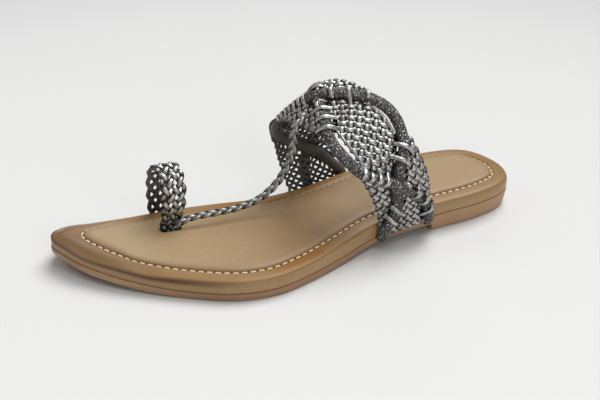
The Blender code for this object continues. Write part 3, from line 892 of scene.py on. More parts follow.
@dataclass
class Last:
    """Shape of the sole: outline, levels, edge and stitch line."""

    breast: float = 61.0
    breast_slope: float = 0.8
    seam_inset: float = 8.5
    toe_extra: float = 1.6
    toe_start: float = 0.86
    spine_start: float = 30.0
    spine_end: float = 222.0
    stations: int = 120
    ease_passes: int = 380
    roll_depth: float = 1.5
    roll_start: float = 185.0
    roll_end: float = 240.0
    shoulder: float = 2.0
    shoulder_reach: float = 3.2
    edge: np.ndarray = field(init=False)
    seam: np.ndarray = field(init=False)

    def __post_init__(self) -> None:
        """Work out the two lines."""
        self.edge = self.outline()
        self.seam = self.stitch_line()

    def level(self, level: Level, x: np.ndarray) -> np.ndarray:
        """Height of a level at distances from the heel.

        Args:
            level: The level.
            x: Distances, in millimetres.

        Returns:
            Heights, in millimetres.
        """
        stations = np.array([row.station for row in SECTIONS])
        values = np.array([getattr(row, level.value) for row in SECTIONS])
        place = np.clip(x / LENGTH, 0.0, 1.0)
        low = np.clip(np.searchsorted(stations, place) - 1, 0, len(stations) - 2)
        high = low + 1
        before = np.maximum(low - 1, 0)
        after = np.minimum(high + 1, len(stations) - 1)
        width = stations[high] - stations[low]
        share = (place - stations[low]) / width
        leave = (values[high] - values[before]) / (stations[high] - stations[before]) * width
        arrive = (values[after] - values[low]) / (stations[after] - stations[low]) * width
        height = on_spline(share, values[low], leave, values[high], arrive)
        height = np.maximum(height, 0.0) * HEEL_HEIGHT
        return np.where(x < self.breast, 0.0, height) if level is Level.GROUND else height

    def outline(self) -> np.ndarray:
        """Edge of the sole as a ring: heel tip, outer side, toe tip, inner side.

        Returns:
            Flat points, in millimetres.
        """
        outer = np.array([(row.station * LENGTH, row.outer * BALL_WIDTH) for row in SECTIONS])
        inner = np.array([(row.station * LENGTH, row.inner * BALL_WIDTH) for row in SECTIONS])
        path = smooth_path(np.concatenate((outer, inner[-2:0:-1])), SPAN_STEPS, closed=True)
        toe = (len(SECTIONS) - 1) * SPAN_STEPS
        halves = (path[:toe + 1], np.concatenate((path[:1], path[:toe - 1:-1])))
        x = LENGTH * (1.0 - np.cos(np.pi * np.arange(1, self.stations) / self.stations)) / 2.0
        x = x[np.abs(x - self.breast) > self.breast_slope]
        breast = (self.breast - self.breast_slope / 2.0, self.breast + self.breast_slope / 2.0)
        x = np.sort(np.concatenate((x, breast)))
        sides = []
        for half in halves:
            y = np.interp(x, np.maximum.accumulate(half[:, 0]), half[:, 1])
            sides.append(np.stack((x, y), axis=1))
        return np.concatenate((path[:1], sides[0], path[toe:toe + 1], sides[1][::-1]))

    def inset(self, ring: np.ndarray, distance: Union[float, np.ndarray]) -> np.ndarray:
        """Ring moved inwards.

        Args:
            ring: Flat points.
            distance: How far, in millimetres.

        Returns:
            The new ring.
        """
        along = np.roll(ring, -1, axis=0) - np.roll(ring, 1, axis=0)
        inward = unit(np.stack((along[:, 1], -along[:, 0]), axis=1))
        return ring + inward * np.reshape(distance, (-1, 1))

    def stitch_line(self) -> np.ndarray:
        """Stitch line, wider from the edge and eased round the toe.

        Returns:
            Flat points, in millimetres.
        """
        toe = eased(self.edge[:, 0] / LENGTH, self.toe_start, 1.0)
        ring = self.inset(self.edge, self.seam_inset + self.toe_extra * toe)
        for _ in range(self.ease_passes):
            soft = 0.5 * ring + 0.25 * (np.roll(ring, 1, axis=0) + np.roll(ring, -1, axis=0))
            ring = np.where(ring[:, :1] > self.spine_end, soft, ring)
        return ring

    def toe_roll(self, x: np.ndarray) -> np.ndarray:
        """How far the rim rolls down at distances from the heel."""
        return self.roll_depth * eased(x, self.roll_start, self.roll_end)

    def drawn_in(self, ring: np.ndarray, distance: float) -> np.ndarray:
        """Ring drawn in towards the middle line of the foot.

        Args:
            ring: Flat points.
            distance: How far, in millimetres.

        Returns:
            The new ring.
        """
        partner = np.roll(ring[::-1], 1, axis=0)
        spine = np.stack((np.clip(ring[:, 0], self.spine_start, self.spine_end),
                          (ring[:, 1] + partner[:, 1]) / 2.0), axis=1)
        return ring + unit(spine - ring) * distance

    def ring(self, step: Step, heel_taper: float = 0.0) -> np.ndarray:
        """Ring of a profile step, in millimetres.

        Args:
            step: The step.
            heel_taper: How far the heel's foot stands inside its top.

        Returns:
            Points of the ring.
        """
        if step.origin is Origin.SEAM:
            flat = self.drawn_in(self.seam, step.inset)
        else:
            taper = np.where(self.edge[:, 0] < self.breast, heel_taper * step.taper, 0.0)
            flat = self.inset(self.edge, step.inset + taper)
        x = flat[:, 0]
        height = self.level(step.level, x) + step.rise - step.roll * self.toe_roll(x)
        return np.concatenate((flat, height[:, None]), axis=1)

    def creased(self, ring: np.ndarray, step: Step, creases: Sequence[Crease]) -> np.ndarray:
        """Ring with the soft creases of the rim, strongest on its shoulder.

        Args:
            ring: Points of the ring.
            step: Its profile step.
            creases: The creases.

        Returns:
            The new ring.
        """
        if step.level is not Level.SEAT or step.origin is Origin.SEAM:
            return ring
        shoulder = math.exp(-((step.inset - self.shoulder) / self.shoulder_reach) ** 2)
        side = np.sign(np.arange(len(ring)) - len(ring) / 2.0) * -1.0
        ring = ring.copy()
        for crease in creases:
            near = np.exp(-((ring[:, 0] - crease.x) / crease.reach) ** 2) * (side == crease.side)
            ring[:, 2] += crease.rise * shoulder * near
        return ring

    def form(self, name: str, profile: Sequence[Step], heel_taper: float = 0.0,
             creases: Sequence[Crease] = ()) -> bpy.types.Object:
        """Closed form through the rings of a profile, with its insets and rises kept on its points.

        Args:
            name: Name of the piece.
            profile: Steps from the outside bottom, round to the inside.
            heel_taper: How far the heel's foot stands inside its top.
            creases: Soft creases across the rim.

        Returns:
            The piece.
        """
        rings = [self.creased(self.ring(step, heel_taper), step, creases) for step in profile]
        rings = [to_frame(ring) for ring in rings]
        model = RingForm(name, rings[0])
        for ring in rings[1:]:
            model.extrude(ring)
        piece = model.close()
        seam = self.seam_inset
        insets = [step.inset + (seam if step.origin is Origin.SEAM else 0.0) for step in profile]
        count = len(self.edge)
        rises = [1.0 - step.taper for step in profile]
        burnish_and_shade = [step.burnish_and_shade for step in profile]
        for key, values in (("inset", insets), ("rise", rises), ("burnish_and_shade", burnish_and_shade)):
            spread = np.full(len(piece.data.vertices), values[-1])
            spread[:count * len(values)] = np.repeat(values, count)
            keep_on_points(piece.data, key, spread)
        return piece


@dataclass
class Sole:
    """Outsole with its heel, footbed board with its rolled rim, padded insole and seam."""

    last: Last
    heel_taper: float = 1.7
    smooth_angle: float = 40.0
    stitch_pitch: float = 4.3
    stitch_length: float = 3.25
    stitch_radius: float = 0.52
    stitch_drop: float = 0.88
    stitch_sink: float = 0.40
    stitch_taper: float = 0.85
    stitch_sides: int = 8
    stitch_points: int = 9
    slot_middle: Point = (194.4, -13.2, 44.0)
    slot_size: Point = (11.2, 6.8, 75.6)
    slot_turn: float = -0.13
    slot_corner: float = 2.2
    corner_segments: int = 5
    outsole_profile: tuple[Step, ...] = (
        Step(1.6, Level.GROUND, 0.0, taper=1.0),
        Step(0.8, Level.GROUND, 0.0, taper=1.0),
        Step(0.25, Level.GROUND, 0.18, taper=0.97),
        Step(-0.1, Level.GROUND, 0.50, taper=0.92),
        Step(-0.25, Level.GROUND, 0.85, taper=0.87),
        Step(-0.4, Level.LINE, -0.85, taper=0.14),
        Step(-0.35, Level.LINE, -0.5, taper=0.09),
        Step(-0.15, Level.LINE, -0.2, taper=0.03),
        Step(0.3, Level.LINE, 0.0),
        Step(3.0, Level.LINE, 0.0),
    )
    board_profile: tuple[Step, ...] = (
        Step(3.0, Level.LINE, 0.08),
        Step(0.55, Level.LINE, 0.08),
        Step(0.3, Level.LINE, 0.2),
        Step(0.14, Level.LINE, 0.5, burnish_and_shade=0.10),
        Step(0.05, Level.LINE, 1.2, burnish_and_shade=0.10),
        # The top of the wall carries a painted shadow line under the rim's shoulder; the rim above
        # it is burnished.
        Step(0.0, Level.SEAT, -4.5, burnish_and_shade=0.22),
        Step(0.0, Level.SEAT, -3.2, burnish_and_shade=0.85),
        Step(0.05, Level.SEAT, -2.3, burnish_and_shade=1.00, roll=0.35),
        Step(0.22, Level.SEAT, -1.72, burnish_and_shade=1.00, roll=0.70),
        Step(0.58, Level.SEAT, -1.22, burnish_and_shade=0.80, roll=0.95),
        Step(1.15, Level.SEAT, -0.82, burnish_and_shade=0.55, roll=1.00),
        Step(1.95, Level.SEAT, -0.54, burnish_and_shade=0.55, roll=0.90),
        Step(3.0, Level.SEAT, -0.34, burnish_and_shade=0.66, roll=0.70),
        Step(4.2, Level.SEAT, -0.17, burnish_and_shade=0.70, roll=0.45),
        Step(5.4, Level.SEAT, -0.06, burnish_and_shade=0.66, roll=0.25),
        Step(6.3, Level.SEAT, 0.0, burnish_and_shade=0.58, roll=0.12),
        # Burnish with painted shade down in the seam groove.
        Step(-1.6, Level.SEAT, -0.07, Origin.SEAM, burnish_and_shade=0.50),
        Step(-0.9, Level.SEAT, -0.36, Origin.SEAM, burnish_and_shade=0.40),
        Step(-0.35, Level.SEAT, -0.74, Origin.SEAM, burnish_and_shade=0.35),
        Step(0.1, Level.SEAT, -1.04, Origin.SEAM, burnish_and_shade=0.35),
        Step(0.45, Level.SEAT, -1.28, Origin.SEAM, burnish_and_shade=0.45),
        Step(0.5, Level.SEAT, -2.0, Origin.SEAM),
    )
    pad_profile: tuple[Step, ...] = (
        Step(1.2, Level.SEAT, -1.8, Origin.SEAM),
        Step(0.75, Level.SEAT, -1.7, Origin.SEAM),
        Step(0.55, Level.SEAT, -1.3, Origin.SEAM),
        # Burnish with painted shade on the pad's edge beside the seam.
        Step(0.55, Level.SEAT, -0.7, Origin.SEAM, burnish_and_shade=0.35),
        Step(0.75, Level.SEAT, -0.15, Origin.SEAM, burnish_and_shade=0.30),
        Step(1.2, Level.SEAT, 0.30, Origin.SEAM, burnish_and_shade=0.25),
        Step(1.9, Level.SEAT, 0.66, Origin.SEAM, burnish_and_shade=0.22),
        Step(2.9, Level.SEAT, 0.94, Origin.SEAM, burnish_and_shade=0.14),
        Step(4.5, Level.SEAT, 1.15, Origin.SEAM, burnish_and_shade=0.08),
        Step(6.8, Level.SEAT, 1.29, Origin.SEAM),
        Step(10.0, Level.SEAT, 1.39, Origin.SEAM),
        Step(15.0, Level.SEAT, 1.44, Origin.SEAM),
    )

    def slot_cutter(self) -> bpy.types.Object:
        """Rounded block that cuts the slot for the toe post.

        Returns:
            The block.
        """
        deselect()
        bpy.ops.mesh.primitive_cube_add(size=1.0)
        block = bpy.context.object
        block.data.transform(Matrix.Diagonal((*(MM * side for side in self.slot_size), 1.0)))
        bpy.ops.object.mode_set(mode="EDIT")
        bpy.ops.mesh.select_mode(type="EDGE")
        bpy.ops.mesh.select_all(action="DESELECT")
        mesh = bmesh.from_edit_mesh(block.data)
        for edge in mesh.edges:
            run = edge.verts[0].co - edge.verts[1].co
            edge.select_set(abs(run.z) > abs(run.x) + abs(run.y))
        bmesh.update_edit_mesh(block.data)
        bpy.ops.mesh.bevel(offset=self.slot_corner * MM, segments=self.corner_segments,
                           affect="EDGES")
        bpy.ops.object.mode_set(mode="OBJECT")
        block.data.transform(Matrix.Rotation(math.atan(self.slot_turn), 4, "Z"))
        block.data.transform(Matrix.Translation(to_frame(np.array(self.slot_middle))))
        return block

    def cut(self, piece: bpy.types.Object, cutter: bpy.types.Object) -> None:
        """Cut one form out of a piece.

        Args:
            piece: The piece.
            cutter: The form.
        """
        choose(piece)
        modifier = piece.modifiers.new("cut", "BOOLEAN")
        modifier.operation = "DIFFERENCE"
        modifier.solver = "EXACT"
        modifier.object = cutter
        bpy.ops.object.modifier_apply(modifier=modifier.name)

    def smooth(self, piece: bpy.types.Object) -> None:
        """Shade a piece smooth up to its sharp edges."""
        choose(piece)
        bpy.ops.object.shade_smooth_by_angle(angle=math.radians(self.smooth_angle))

    def stitches(self) -> bpy.types.Object:
        """Row of arched stitches all round the seam.

        Returns:
            The piece.
        """
        seam = np.concatenate((self.last.seam, self.last.seam[:1]))
        lengths = arc_lengths(seam)
        total = lengths[-1]
        count = round(total / self.stitch_pitch)
        strips = Strips(sides=self.stitch_sides)
        shares = np.linspace(-1.0, 1.0, self.stitch_points)
        rise = -self.stitch_drop - self.stitch_sink * shares ** 4
        taper = self.stitch_radius * np.sqrt(1.0 - self.stitch_taper * shares ** 6)
        up = np.tile((0.0, 0.0, 1.0), (len(shares), 1))
        for number in range(count):
            middle = (number + 0.5) * total / count
            at = np.mod(middle + shares * self.stitch_length / 2.0, total)
            flat = at_marks(at, lengths, seam)
            height = self.last.level(Level.SEAT, flat[:, 0]) + rise
            path = np.concatenate((flat, height[:, None]), axis=1)
            strips.add(path, up, taper, taper)
        return strips.make("seam_stitches")

    def build(self) -> None:
        """Model and dress every piece of the sole."""
        outsole = self.last.form("outsole_leather", self.outsole_profile, self.heel_taper)
        board = self.last.form("footbed_board", self.board_profile, creases=RIM_CREASES)
        pad = self.last.form("insole_pad", self.pad_profile)
        cutter = self.slot_cutter()
        for piece in (board, pad):
            self.cut(piece, cutter)
        bpy.data.objects.remove(cutter)
        for piece in (outsole, board, pad):
            self.smooth(piece)
        rim = FootbedLeather(
            "rim leather", tone=(0.338, 0.200, 0.078), warm=(0.285, 0.137, 0.033),
            burnt_and_shade=(0.130, 0.074, 0.042), wall=(0.455, 0.292, 0.145), pale=(0.312, 0.174, 0.055),
            roughness=0.33, coat=0.06, burnish_and_shade=0.14, sheen=0.20)
        sock = FootbedLeather(
            "insole leather", tone=(0.374, 0.251, 0.130), warm=(0.320, 0.194, 0.088),
            burnt_and_shade=(0.210, 0.120, 0.052), wall=(0.30, 0.19, 0.09), pale=(0.388, 0.282, 0.157),
            roughness=0.45, coat=0.05, burnish_and_shade=0.60, sheen=0.34)
        dress(outsole, SoleLeather().make(), "outsole", "outsole")
        dress(board, rim.make(), "midsole", "midsole")
        dress(pad, sock.make(), "insole", "insole")
        dress(self.stitches(), Thread().make(), "insole")


class Strips:
    """Flat or round strips swept along paths and joined in one mesh."""

    def __init__(self, sides: int) -> None:
        """Start with no strip.

        Args:
            sides: Number of corners of a strip's section.
        """
        self.angles = 2.0 * np.pi * np.arange(sides) / sides
        self.points: list[np.ndarray] = []
        self.faces: list[tuple[int, ...]] = []
        self.outer: list[np.ndarray] = []
        self.crown: list[np.ndarray] = []
        self.count = 0

    def add(self, path: np.ndarray, normals: np.ndarray, half_width: np.ndarray,
            half_thick: np.ndarray, crown: Optional[np.ndarray] = None) -> None:
        """Sweep one strip.

        Args:
            path: Middle line in millimetres.
            normals: Direction off the strip's face at each point.
            half_width: Half the width at each point.
            half_thick: Half the thickness at each point.
            crown: How far each point stands out of the braid, from -1 to 1.
        """
        along = unit(np.gradient(path, axis=0))
        side = unit(np.cross(along, normals))
        normals = unit(np.cross(side, along))
        wide = np.cos(self.angles)[None, :] * half_width[:, None]
        thick = np.sin(self.angles)[None, :] * half_thick[:, None]
        rings = (path[:, None, :] + side[:, None, :] * wide[..., None]
                 + normals[:, None, :] * thick[..., None])
        sides = len(self.angles)
        start = self.count
        for ring in range(len(path) - 1):
            low = start + ring * sides
            high = low + sides
            for corner in range(sides):
                other = (corner + 1) % sides
                self.faces.append((low + corner, low + other, high + other, high + corner))
        end = start + (len(path) - 1) * sides
        self.faces.append(tuple(range(start + sides - 1, start - 1, -1)))
        self.faces.append(tuple(range(end, end + sides)))
        self.points.append(rings.reshape(-1, 3))
        self.outer.append(np.tile(np.sin(self.angles), len(path)))
        self.crown.append(np.repeat(np.ones(len(path)) if crown is None else crown, sides))
        self.count += len(path) * sides

    def make(self, name: str) -> bpy.types.Object:
        """Join the strips in one piece, faces outwards.

        Args:
            name: Its name.

        Returns:
            The piece.
        """
        mesh = bpy.data.meshes.new(name)
        mesh.from_pydata(to_frame(np.concatenate(self.points)).tolist(), [], self.faces)
        for key, values in (("face", self.outer), ("crown", self.crown)):
            keep_on_points(mesh, key, np.concatenate(values))
        piece = bpy.data.objects.new(name, mesh)
        bpy.context.scene.collection.objects.link(piece)
        choose(piece)
        bpy.ops.object.mode_set(mode="EDIT")
        turn_outwards()
        bpy.ops.object.shade_smooth()
        return piece


@dataclass
class BandWall:
    """Curved wall of the instep band: a place by fold, share across and lift."""

    steps: int = 48
    reach: float = 0.15
    front: np.ndarray = field(init=False)
    rear: np.ndarray = field(init=False)
    swell: np.ndarray = field(init=False)

    def __post_init__(self) -> None:
        """Work out both edges."""
        self.front = smooth_path(shares_to_mm([fold.front for fold in FOLDS]), self.steps)
        self.rear = smooth_path(shares_to_mm([fold.rear for fold in FOLDS]), self.steps)
        self.swell = smooth_path(np.array([(fold.swell, 0.0, 0.0) for fold in FOLDS]), self.steps)

    def edge(self, path: np.ndarray, fold: np.ndarray) -> np.ndarray:
        """Points of an edge at fold numbers with fractions."""
        at = np.clip(fold * self.steps, 0.0, len(path) - 1.0)
        return at_marks(at, np.arange(len(path)), path)

    def place(self, fold: np.ndarray, across: np.ndarray,
              lift: Union[float, np.ndarray]) -> tuple[np.ndarray, np.ndarray]:
        """Points on the wall and their outward directions.

        Args:
            fold: Fold numbers with fractions.
            across: Shares across from the front edge.
            lift: Millimetres off the outer face.

        Returns:
            Points and directions.
        """
        start, end = self.edge(self.front, fold), self.edge(self.rear, fold)
        ahead = self.edge(self.front, fold + self.reach) + self.edge(self.rear, fold + self.reach)
        behind = self.edge(self.front, fold - self.reach) + self.edge(self.rear, fold - self.reach)
        chord = end - start
        normal = unit(np.cross(chord, ahead - behind))
        rise = self.edge(self.swell, fold)[..., :1]
        share = across[..., None]
        width = np.linalg.norm(chord, axis=-1, keepdims=True)
        tilt = rise * 4.0 * (1.0 - 2.0 * share) / width
        outward = unit(normal - unit(chord) * tilt)
        point = start + chord * share + normal * (rise * 4.0 * share * (1.0 - share))
        return point + outward * np.reshape(lift, (-1, 1)), outward

    def width(self, fold: np.ndarray) -> np.ndarray:
        """Width of the band at fold numbers."""
        return np.linalg.norm(self.edge(self.rear, fold) - self.edge(self.front, fold), axis=-1)


def swing(phase: np.ndarray, rounding: float) -> tuple[np.ndarray, np.ndarray]:
    """To-and-fro run of a braided strip with rounded turns.

    Args:
        phase: Run of the strip, one turn at each whole number.
        rounding: Share of the width that a turn keeps off the edge.

    Returns:
        Share across, and the direction from -1 to 1.
    """
    turn = np.mod(phase, 2.0)
    low = np.where(turn > 1.5, turn - 2.0, turn)
    near_low = (turn < 0.5) | (turn > 1.5)
    reach = np.where(near_low, low, turn - 1.0)
    bow = np.sqrt(reach ** 2 + rounding ** 2)
    return np.where(near_low, bow, 1.0 - bow), np.where(near_low, reach, -reach) / bow


@dataclass
class InstepBand:
    """Bias-woven band over the instep with two glitter cords wound through it."""

    wall: BandWall
    strands: int = 15
    first_fold: float = 1.25
    last_fold: float = 12.75
    middle: float = -0.75
    wave: float = 0.74
    strip_share: float = 0.68
    dense_share: float = 0.77
    open_share: float = 0.50
    half_thick: float = 0.66
    rounding: float = 0.040
    cord_radius: float = 3.0
    cord_step: float = 0.8
    cord_sides: int = 24
    cord_jitter: float = 0.17
    run_step: float = 0.0117
    square: float = 0.72
    strip_sides: int = 8
    grid_size: int = 900
    dense_fold: float = 5.0
    open_fold: float = 9.9
    fold_ease: float = 0.8
    over_reach: float = 0.8
    hump_reach: float = 2.0
    hump_power: float = 0.6
    cross_reach: float = 1.5
    slit_least: float = 0.2
    slit_power: float = 0.7
    slit_back: float = 3.0
    end_step: float = 0.8
    end_drop: float = 0.9
    end_reach: float = 0.7
    border_gap: float = 0.75
    border_step: float = 0.8
    border_lift: float = 0.25
    border_half: float = 0.85
    least_points: int = 5
    fold_grid: np.ndarray = field(init=False)
    run_grid: np.ndarray = field(init=False)
    length_grid: np.ndarray = field(init=False)

    def __post_init__(self) -> None:
        """Measure the band along its middle line."""
        self.fold_grid = np.linspace(self.first_fold, self.last_fold, self.grid_size)
        line, _ = self.wall.place(self.fold_grid, np.full(self.grid_size, 0.5), self.middle)
        self.length_grid = arc_lengths(line)
        width = self.wall.width(self.fold_grid)
        runs = np.diff(self.length_grid) / ((width[1:] + width[:-1]) / 2.0)
        self.run_grid = np.concatenate(([0.0], np.cumsum(runs)))

    def flat(self, fold: np.ndarray, across: np.ndarray) -> np.ndarray:
        """Places on the band laid out flat, in millimetres."""
        along = np.interp(fold, self.fold_grid, self.length_grid)
        return np.stack((along, (across - 0.5) * self.wall.width(fold)), axis=1)

    def cord_line(self, name: str) -> np.ndarray:
        """Fold, share across and lift along a cord."""
        return smooth_path(np.array(CORDS[name]), SPAN_STEPS)

    def beside_cord(self, name: str, fold: np.ndarray, across: np.ndarray
                    ) -> tuple[np.ndarray, np.ndarray, np.ndarray, np.ndarray]:
        """How places on the band lie to a cord.

        Args:
            name: The cord.
            fold: Fold numbers of the places.
            across: Shares across of the places.

        Returns:
            Distance, positive towards the rear; the cord's fold and lift there; and how squarely
            a strip through these places meets the cord.
        """
        cord = self.cord_line(name)
        line = self.flat(cord[:, 0], cord[:, 1])
        here = self.flat(fold, across)
        gap = here[:, None, :] - line[None, :, :]
        nearest = np.argmin(np.sum(gap ** 2, axis=2), axis=1)
        along = unit(np.gradient(line, axis=0))[nearest]
        off = here - line[nearest]
        distance = np.linalg.norm(off, axis=1)
        side = np.sign(along[:, 0] * off[:, 1] - along[:, 1] * off[:, 0])
        heading = unit(np.gradient(here, axis=0))
        square = np.abs(along[:, 0] * heading[:, 1] - along[:, 1] * heading[:, 0])
        return distance * side, cord[nearest, 0], cord[nearest, 2], square

    def slit_width(self, slit: Field, fold: np.ndarray) -> np.ndarray:
        """Width of a slit at folds, eased to its ends; zero outside it."""
        share = np.clip((fold - slit.first) / (slit.last - slit.first), 0.0, 1.0)
        return slit.width * np.sin(np.pi * share) ** self.slit_power

    def winds_over(self, name: str, lane: np.ndarray, fold: np.ndarray) -> np.ndarray:
        """True where the strips of a lane wind over a cord.

        Args:
            name: The cord.
            lane: Lane numbers of the places.
            fold: Fold numbers of the places.

        Returns:
            A truth value for each place.
        """
        over = np.zeros(len(fold), dtype=bool)
        for wrap in WRAPS:
            if wrap.cord == name:
                within = (fold > wrap.first) & (fold < wrap.last)
                over |= within & (np.mod(lane - wrap.first_lane, wrap.lanes) < 0.5)
        return over

    def weave(self) -> bpy.types.Object:
        """All strips of the band.

        Returns:
            The piece.
        """
        runs = np.arange(0.0, self.run_grid[-1], self.run_step)
        fold = np.interp(runs, self.run_grid, self.fold_grid)
        dense = np.clip((self.dense_fold - fold) / self.fold_ease, 0.0, 1.0)
        open_side = np.clip((fold - self.open_fold) / self.fold_ease, 0.0, 1.0)
        share = self.strip_share + (self.dense_share - self.strip_share) * dense
        share = share + (self.open_share - self.strip_share) * open_side
        pitch = math.sqrt(2.0) * self.wall.width(fold) / self.strands * share
        strips = Strips(sides=self.strip_sides)
        for strand in range(self.strands):
            phase = runs + 2.0 * strand / self.strands
            across, heading = swing(phase, self.rounding)
            crown = heading * np.cos(math.pi * self.strands * runs)
            lift = self.middle + self.wave * crown
            keep = np.ones(len(runs), dtype=bool)
            for name in CORDS:
                gap, cord_fold, cord_lift, square = self.beside_cord(name, fold, across)
                over = self.winds_over(name, self.lane(strand, phase), cord_fold)
                over &= square > self.square
                near = np.abs(gap) < self.cord_radius + self.over_reach
                crown = np.where(over & near, 1.0, crown)
                lift = self.wound(over, gap, cord_lift, lift)
                for slit in SLITS:
                    if slit.cord == name:
                        open_width = self.slit_width(slit, cord_fold)
                        inward = gap * slit.panel
                        keep &= ~((open_width > self.slit_least)
                                  & (inward < self.cord_radius + open_width)
                                  & (inward > -self.slit_back * self.cord_radius))
            for run in self.pieces(keep):
                points, normals = self.wall.place(fold[run], across[run], lift[run])
                size = len(run)
                end = np.minimum(np.arange(size), np.arange(size)[::-1]) * self.end_step
                drop = self.end_drop * np.exp(-end / self.end_reach)
                points = points - normals * drop[:, None]
                half = pitch[run] / 2.0
                strips.add(points, normals, half, np.full(size, self.half_thick), crown[run])
        for slit in SLITS:
            self.add_border(strips, slit)
        return strips.make("instep_band_weave")

    def add_border(self, strips: Strips, slit: Field) -> None:
        """Lay a strip along the woven side of a slit.

        Args:
            strips: Strips of the band.
            slit: The slit.
        """
        cord = self.cord_line(slit.cord)
        cord = cord[(cord[:, 0] > slit.first) & (cord[:, 0] < slit.last)]
        line = self.flat(cord[:, 0], cord[:, 1])
        along = unit(np.gradient(line, axis=0))
        away = np.stack((-along[:, 1], along[:, 0]), axis=1) * slit.panel
        distance = self.cord_radius + self.slit_width(slit, cord[:, 0]) + self.border_gap
        count = max(round(arc_lengths(line)[-1] / self.border_step), self.least_points)
        line = resampled(line + away * distance[:, None], count)
        fold = np.interp(line[:, 0], self.length_grid, self.fold_grid)
        across = line[:, 1] / self.wall.width(fold) + 0.5
        points, normals = self.wall.place(fold, across, self.middle + self.border_lift)
        half, thick = np.full(count, self.border_half), np.full(count, self.half_thick)
        strips.add(points, normals, half, thick)

    def pieces(self, keep: np.ndarray) -> list[np.ndarray]:
        """Unbroken stretches of a strip.

        Args:
            keep: Where the strip runs.

        Returns:
            Numbers of the points of each stretch.
        """
        index = np.flatnonzero(keep)
        parts = np.split(index, np.flatnonzero(np.diff(index) > 1) + 1)
        return [part for part in parts if len(part) >= self.least_points]

    def lane(self, strand: int, phase: np.ndarray) -> np.ndarray:
        """Number of the lane that a strip lies in, counted along the band.

        Args:
            strand: Number of the strip.
            phase: Its run, one turn at each whole number.

        Returns:
            Lane numbers.
        """
        turn = np.floor(phase / 2.0)
        falling = np.mod(phase, 2.0) >= 1.0
        return np.where(falling, turn + 1.0, turn) * self.strands - strand

    def wound(self, over: np.ndarray, gap: np.ndarray, cord_lift: np.ndarray,
              lift: np.ndarray) -> np.ndarray:
        """Lift of a strip with its crossings of a cord.

        Args:
            over: Where the strip winds over the cord.
            gap: Distance from the cord at each point.
            cord_lift: Lift of the cord at each point.
            lift: Lift of the strip in the plain weave.

        Returns:
            Lift with the crossings.
        """
        reach = self.cord_radius + self.hump_reach
        lift = lift.copy()
        near = np.abs(gap[1:]) < self.cross_reach
        for cross in np.flatnonzero((gap[1:] * gap[:-1] < 0.0) & near):
            side = Side.OVER if over[cross] else Side.UNDER
            low, high = cross, cross + 1
            while low > 0 and abs(gap[low]) < reach:
                low -= 1
            while high < len(gap) - 1 and abs(gap[high]) < reach:
                high += 1
            part = slice(low, high + 1)
            share = np.clip(np.abs(gap[part]) / reach, 0.0, 1.0)
            hump = ((1.0 + np.cos(math.pi * share)) / 2.0) ** self.hump_power
            top = cord_lift[part] + side.value * (self.cord_radius + self.half_thick)
            lift[part] = lift[part] * (1.0 - hump) + top * hump
        return lift

    def cord(self, name: str) -> bpy.types.Object:
        """Glitter cord as a tube of small uneven facets.

        Args:
            name: The cord.

        Returns:
            The piece.
        """
        line = self.cord_line(name)
        points, normals = self.wall.place(line[:, 0], line[:, 1], line[:, 2])
        count = round(arc_lengths(points)[-1] / self.cord_step)
        path = resampled(points, count)
        normals = unit(resampled(normals, count))
        strips = Strips(sides=self.cord_sides)
        radius = np.full(count, self.cord_radius)
        strips.add(path, normals, radius, radius)
        rng = np.random.default_rng(len(name))
        centre = np.repeat(path, self.cord_sides, axis=0)
        spread = strips.points[0] - centre
        uneven = rng.uniform(-self.cord_jitter, self.cord_jitter, len(spread))
        strips.points[0] = centre + spread * (1.0 + uneven / self.cord_radius)[:, None]
        piece = strips.make(f"instep_cord_{name}")
        bpy.ops.object.shade_flat()
        return piece

    def build(self) -> None:
        """Model and dress the band."""
        strips = PewterStrip("band strips", back=(0.150, 0.146, 0.142))
        dress(self.weave(), strips.make(), "instep_band", "upper_instep_band")
        glitter = Glitter().make()
        for name in CORDS:
            dress(self.cord(name), glitter, "instep_band")


@dataclass
class ToeRing:
    """Open flat braid of five strips round the big toe."""

    strands: int = 5
    turn: float = -0.13
    lead: float = 1.48
    wave: float = 0.80
    half_width: float = 1.26
    post_width: float = 1.40
    post_length: float = 14.0
    half_thick: float = 0.80
    sink: float = 0.65
    rounding: float = 0.10
    run_step: float = 0.028
    sides: int = 10

    def build(self) -> None:
        """Model and dress the ring."""
        points = shares_to_mm([row.middle for row in TOE_RING])
        sizes = np.array([(row.half_width, 0.0) for row in TOE_RING])
        centre = smooth_path(points, SPAN_STEPS)
        half = smooth_path(sizes, SPAN_STEPS)[:, 0]
        turns = np.diff(arc_lengths(centre)) / (half[1:] + half[:-1]) / self.lead
        run = np.concatenate(([0.0], np.cumsum(turns)))
        runs = np.arange(0.0, run[-1], self.run_step)
        middle = at_marks(runs, run, centre)
        half = np.interp(runs, run, half)
        across_axis = unit(np.array((1.0, self.turn, 0.0)))
        along = unit(np.gradient(middle, axis=0))
        outward = unit(np.cross(along, across_axis))
        post = np.clip(1.0 - arc_lengths(middle) / self.post_length, 0.0, 1.0)
        wide = self.half_width + (self.post_width - self.half_width) * post
        thick = np.full(len(runs), self.half_thick)
        strips = Strips(sides=self.sides)
        for strand in range(self.strands):
            across, heading = swing(runs + 2.0 * strand / self.strands, self.rounding)
            crown = heading * np.cos(math.pi * self.strands * runs)
            lift = self.wave * crown - self.sink
            reach = (2.0 * across - 1.0) * half
            path = middle + across_axis * reach[:, None] + outward * lift[:, None]
            strips.add(path, outward, wide, thick, crown)
        ring = strips.make("toe_ring_braid")
        finish = PewterStrip("toe ring strips", back=(0.200, 0.194, 0.186), post=0.028)
        dress(ring, finish.make(), "toe_ring", "upper_toe_ring")


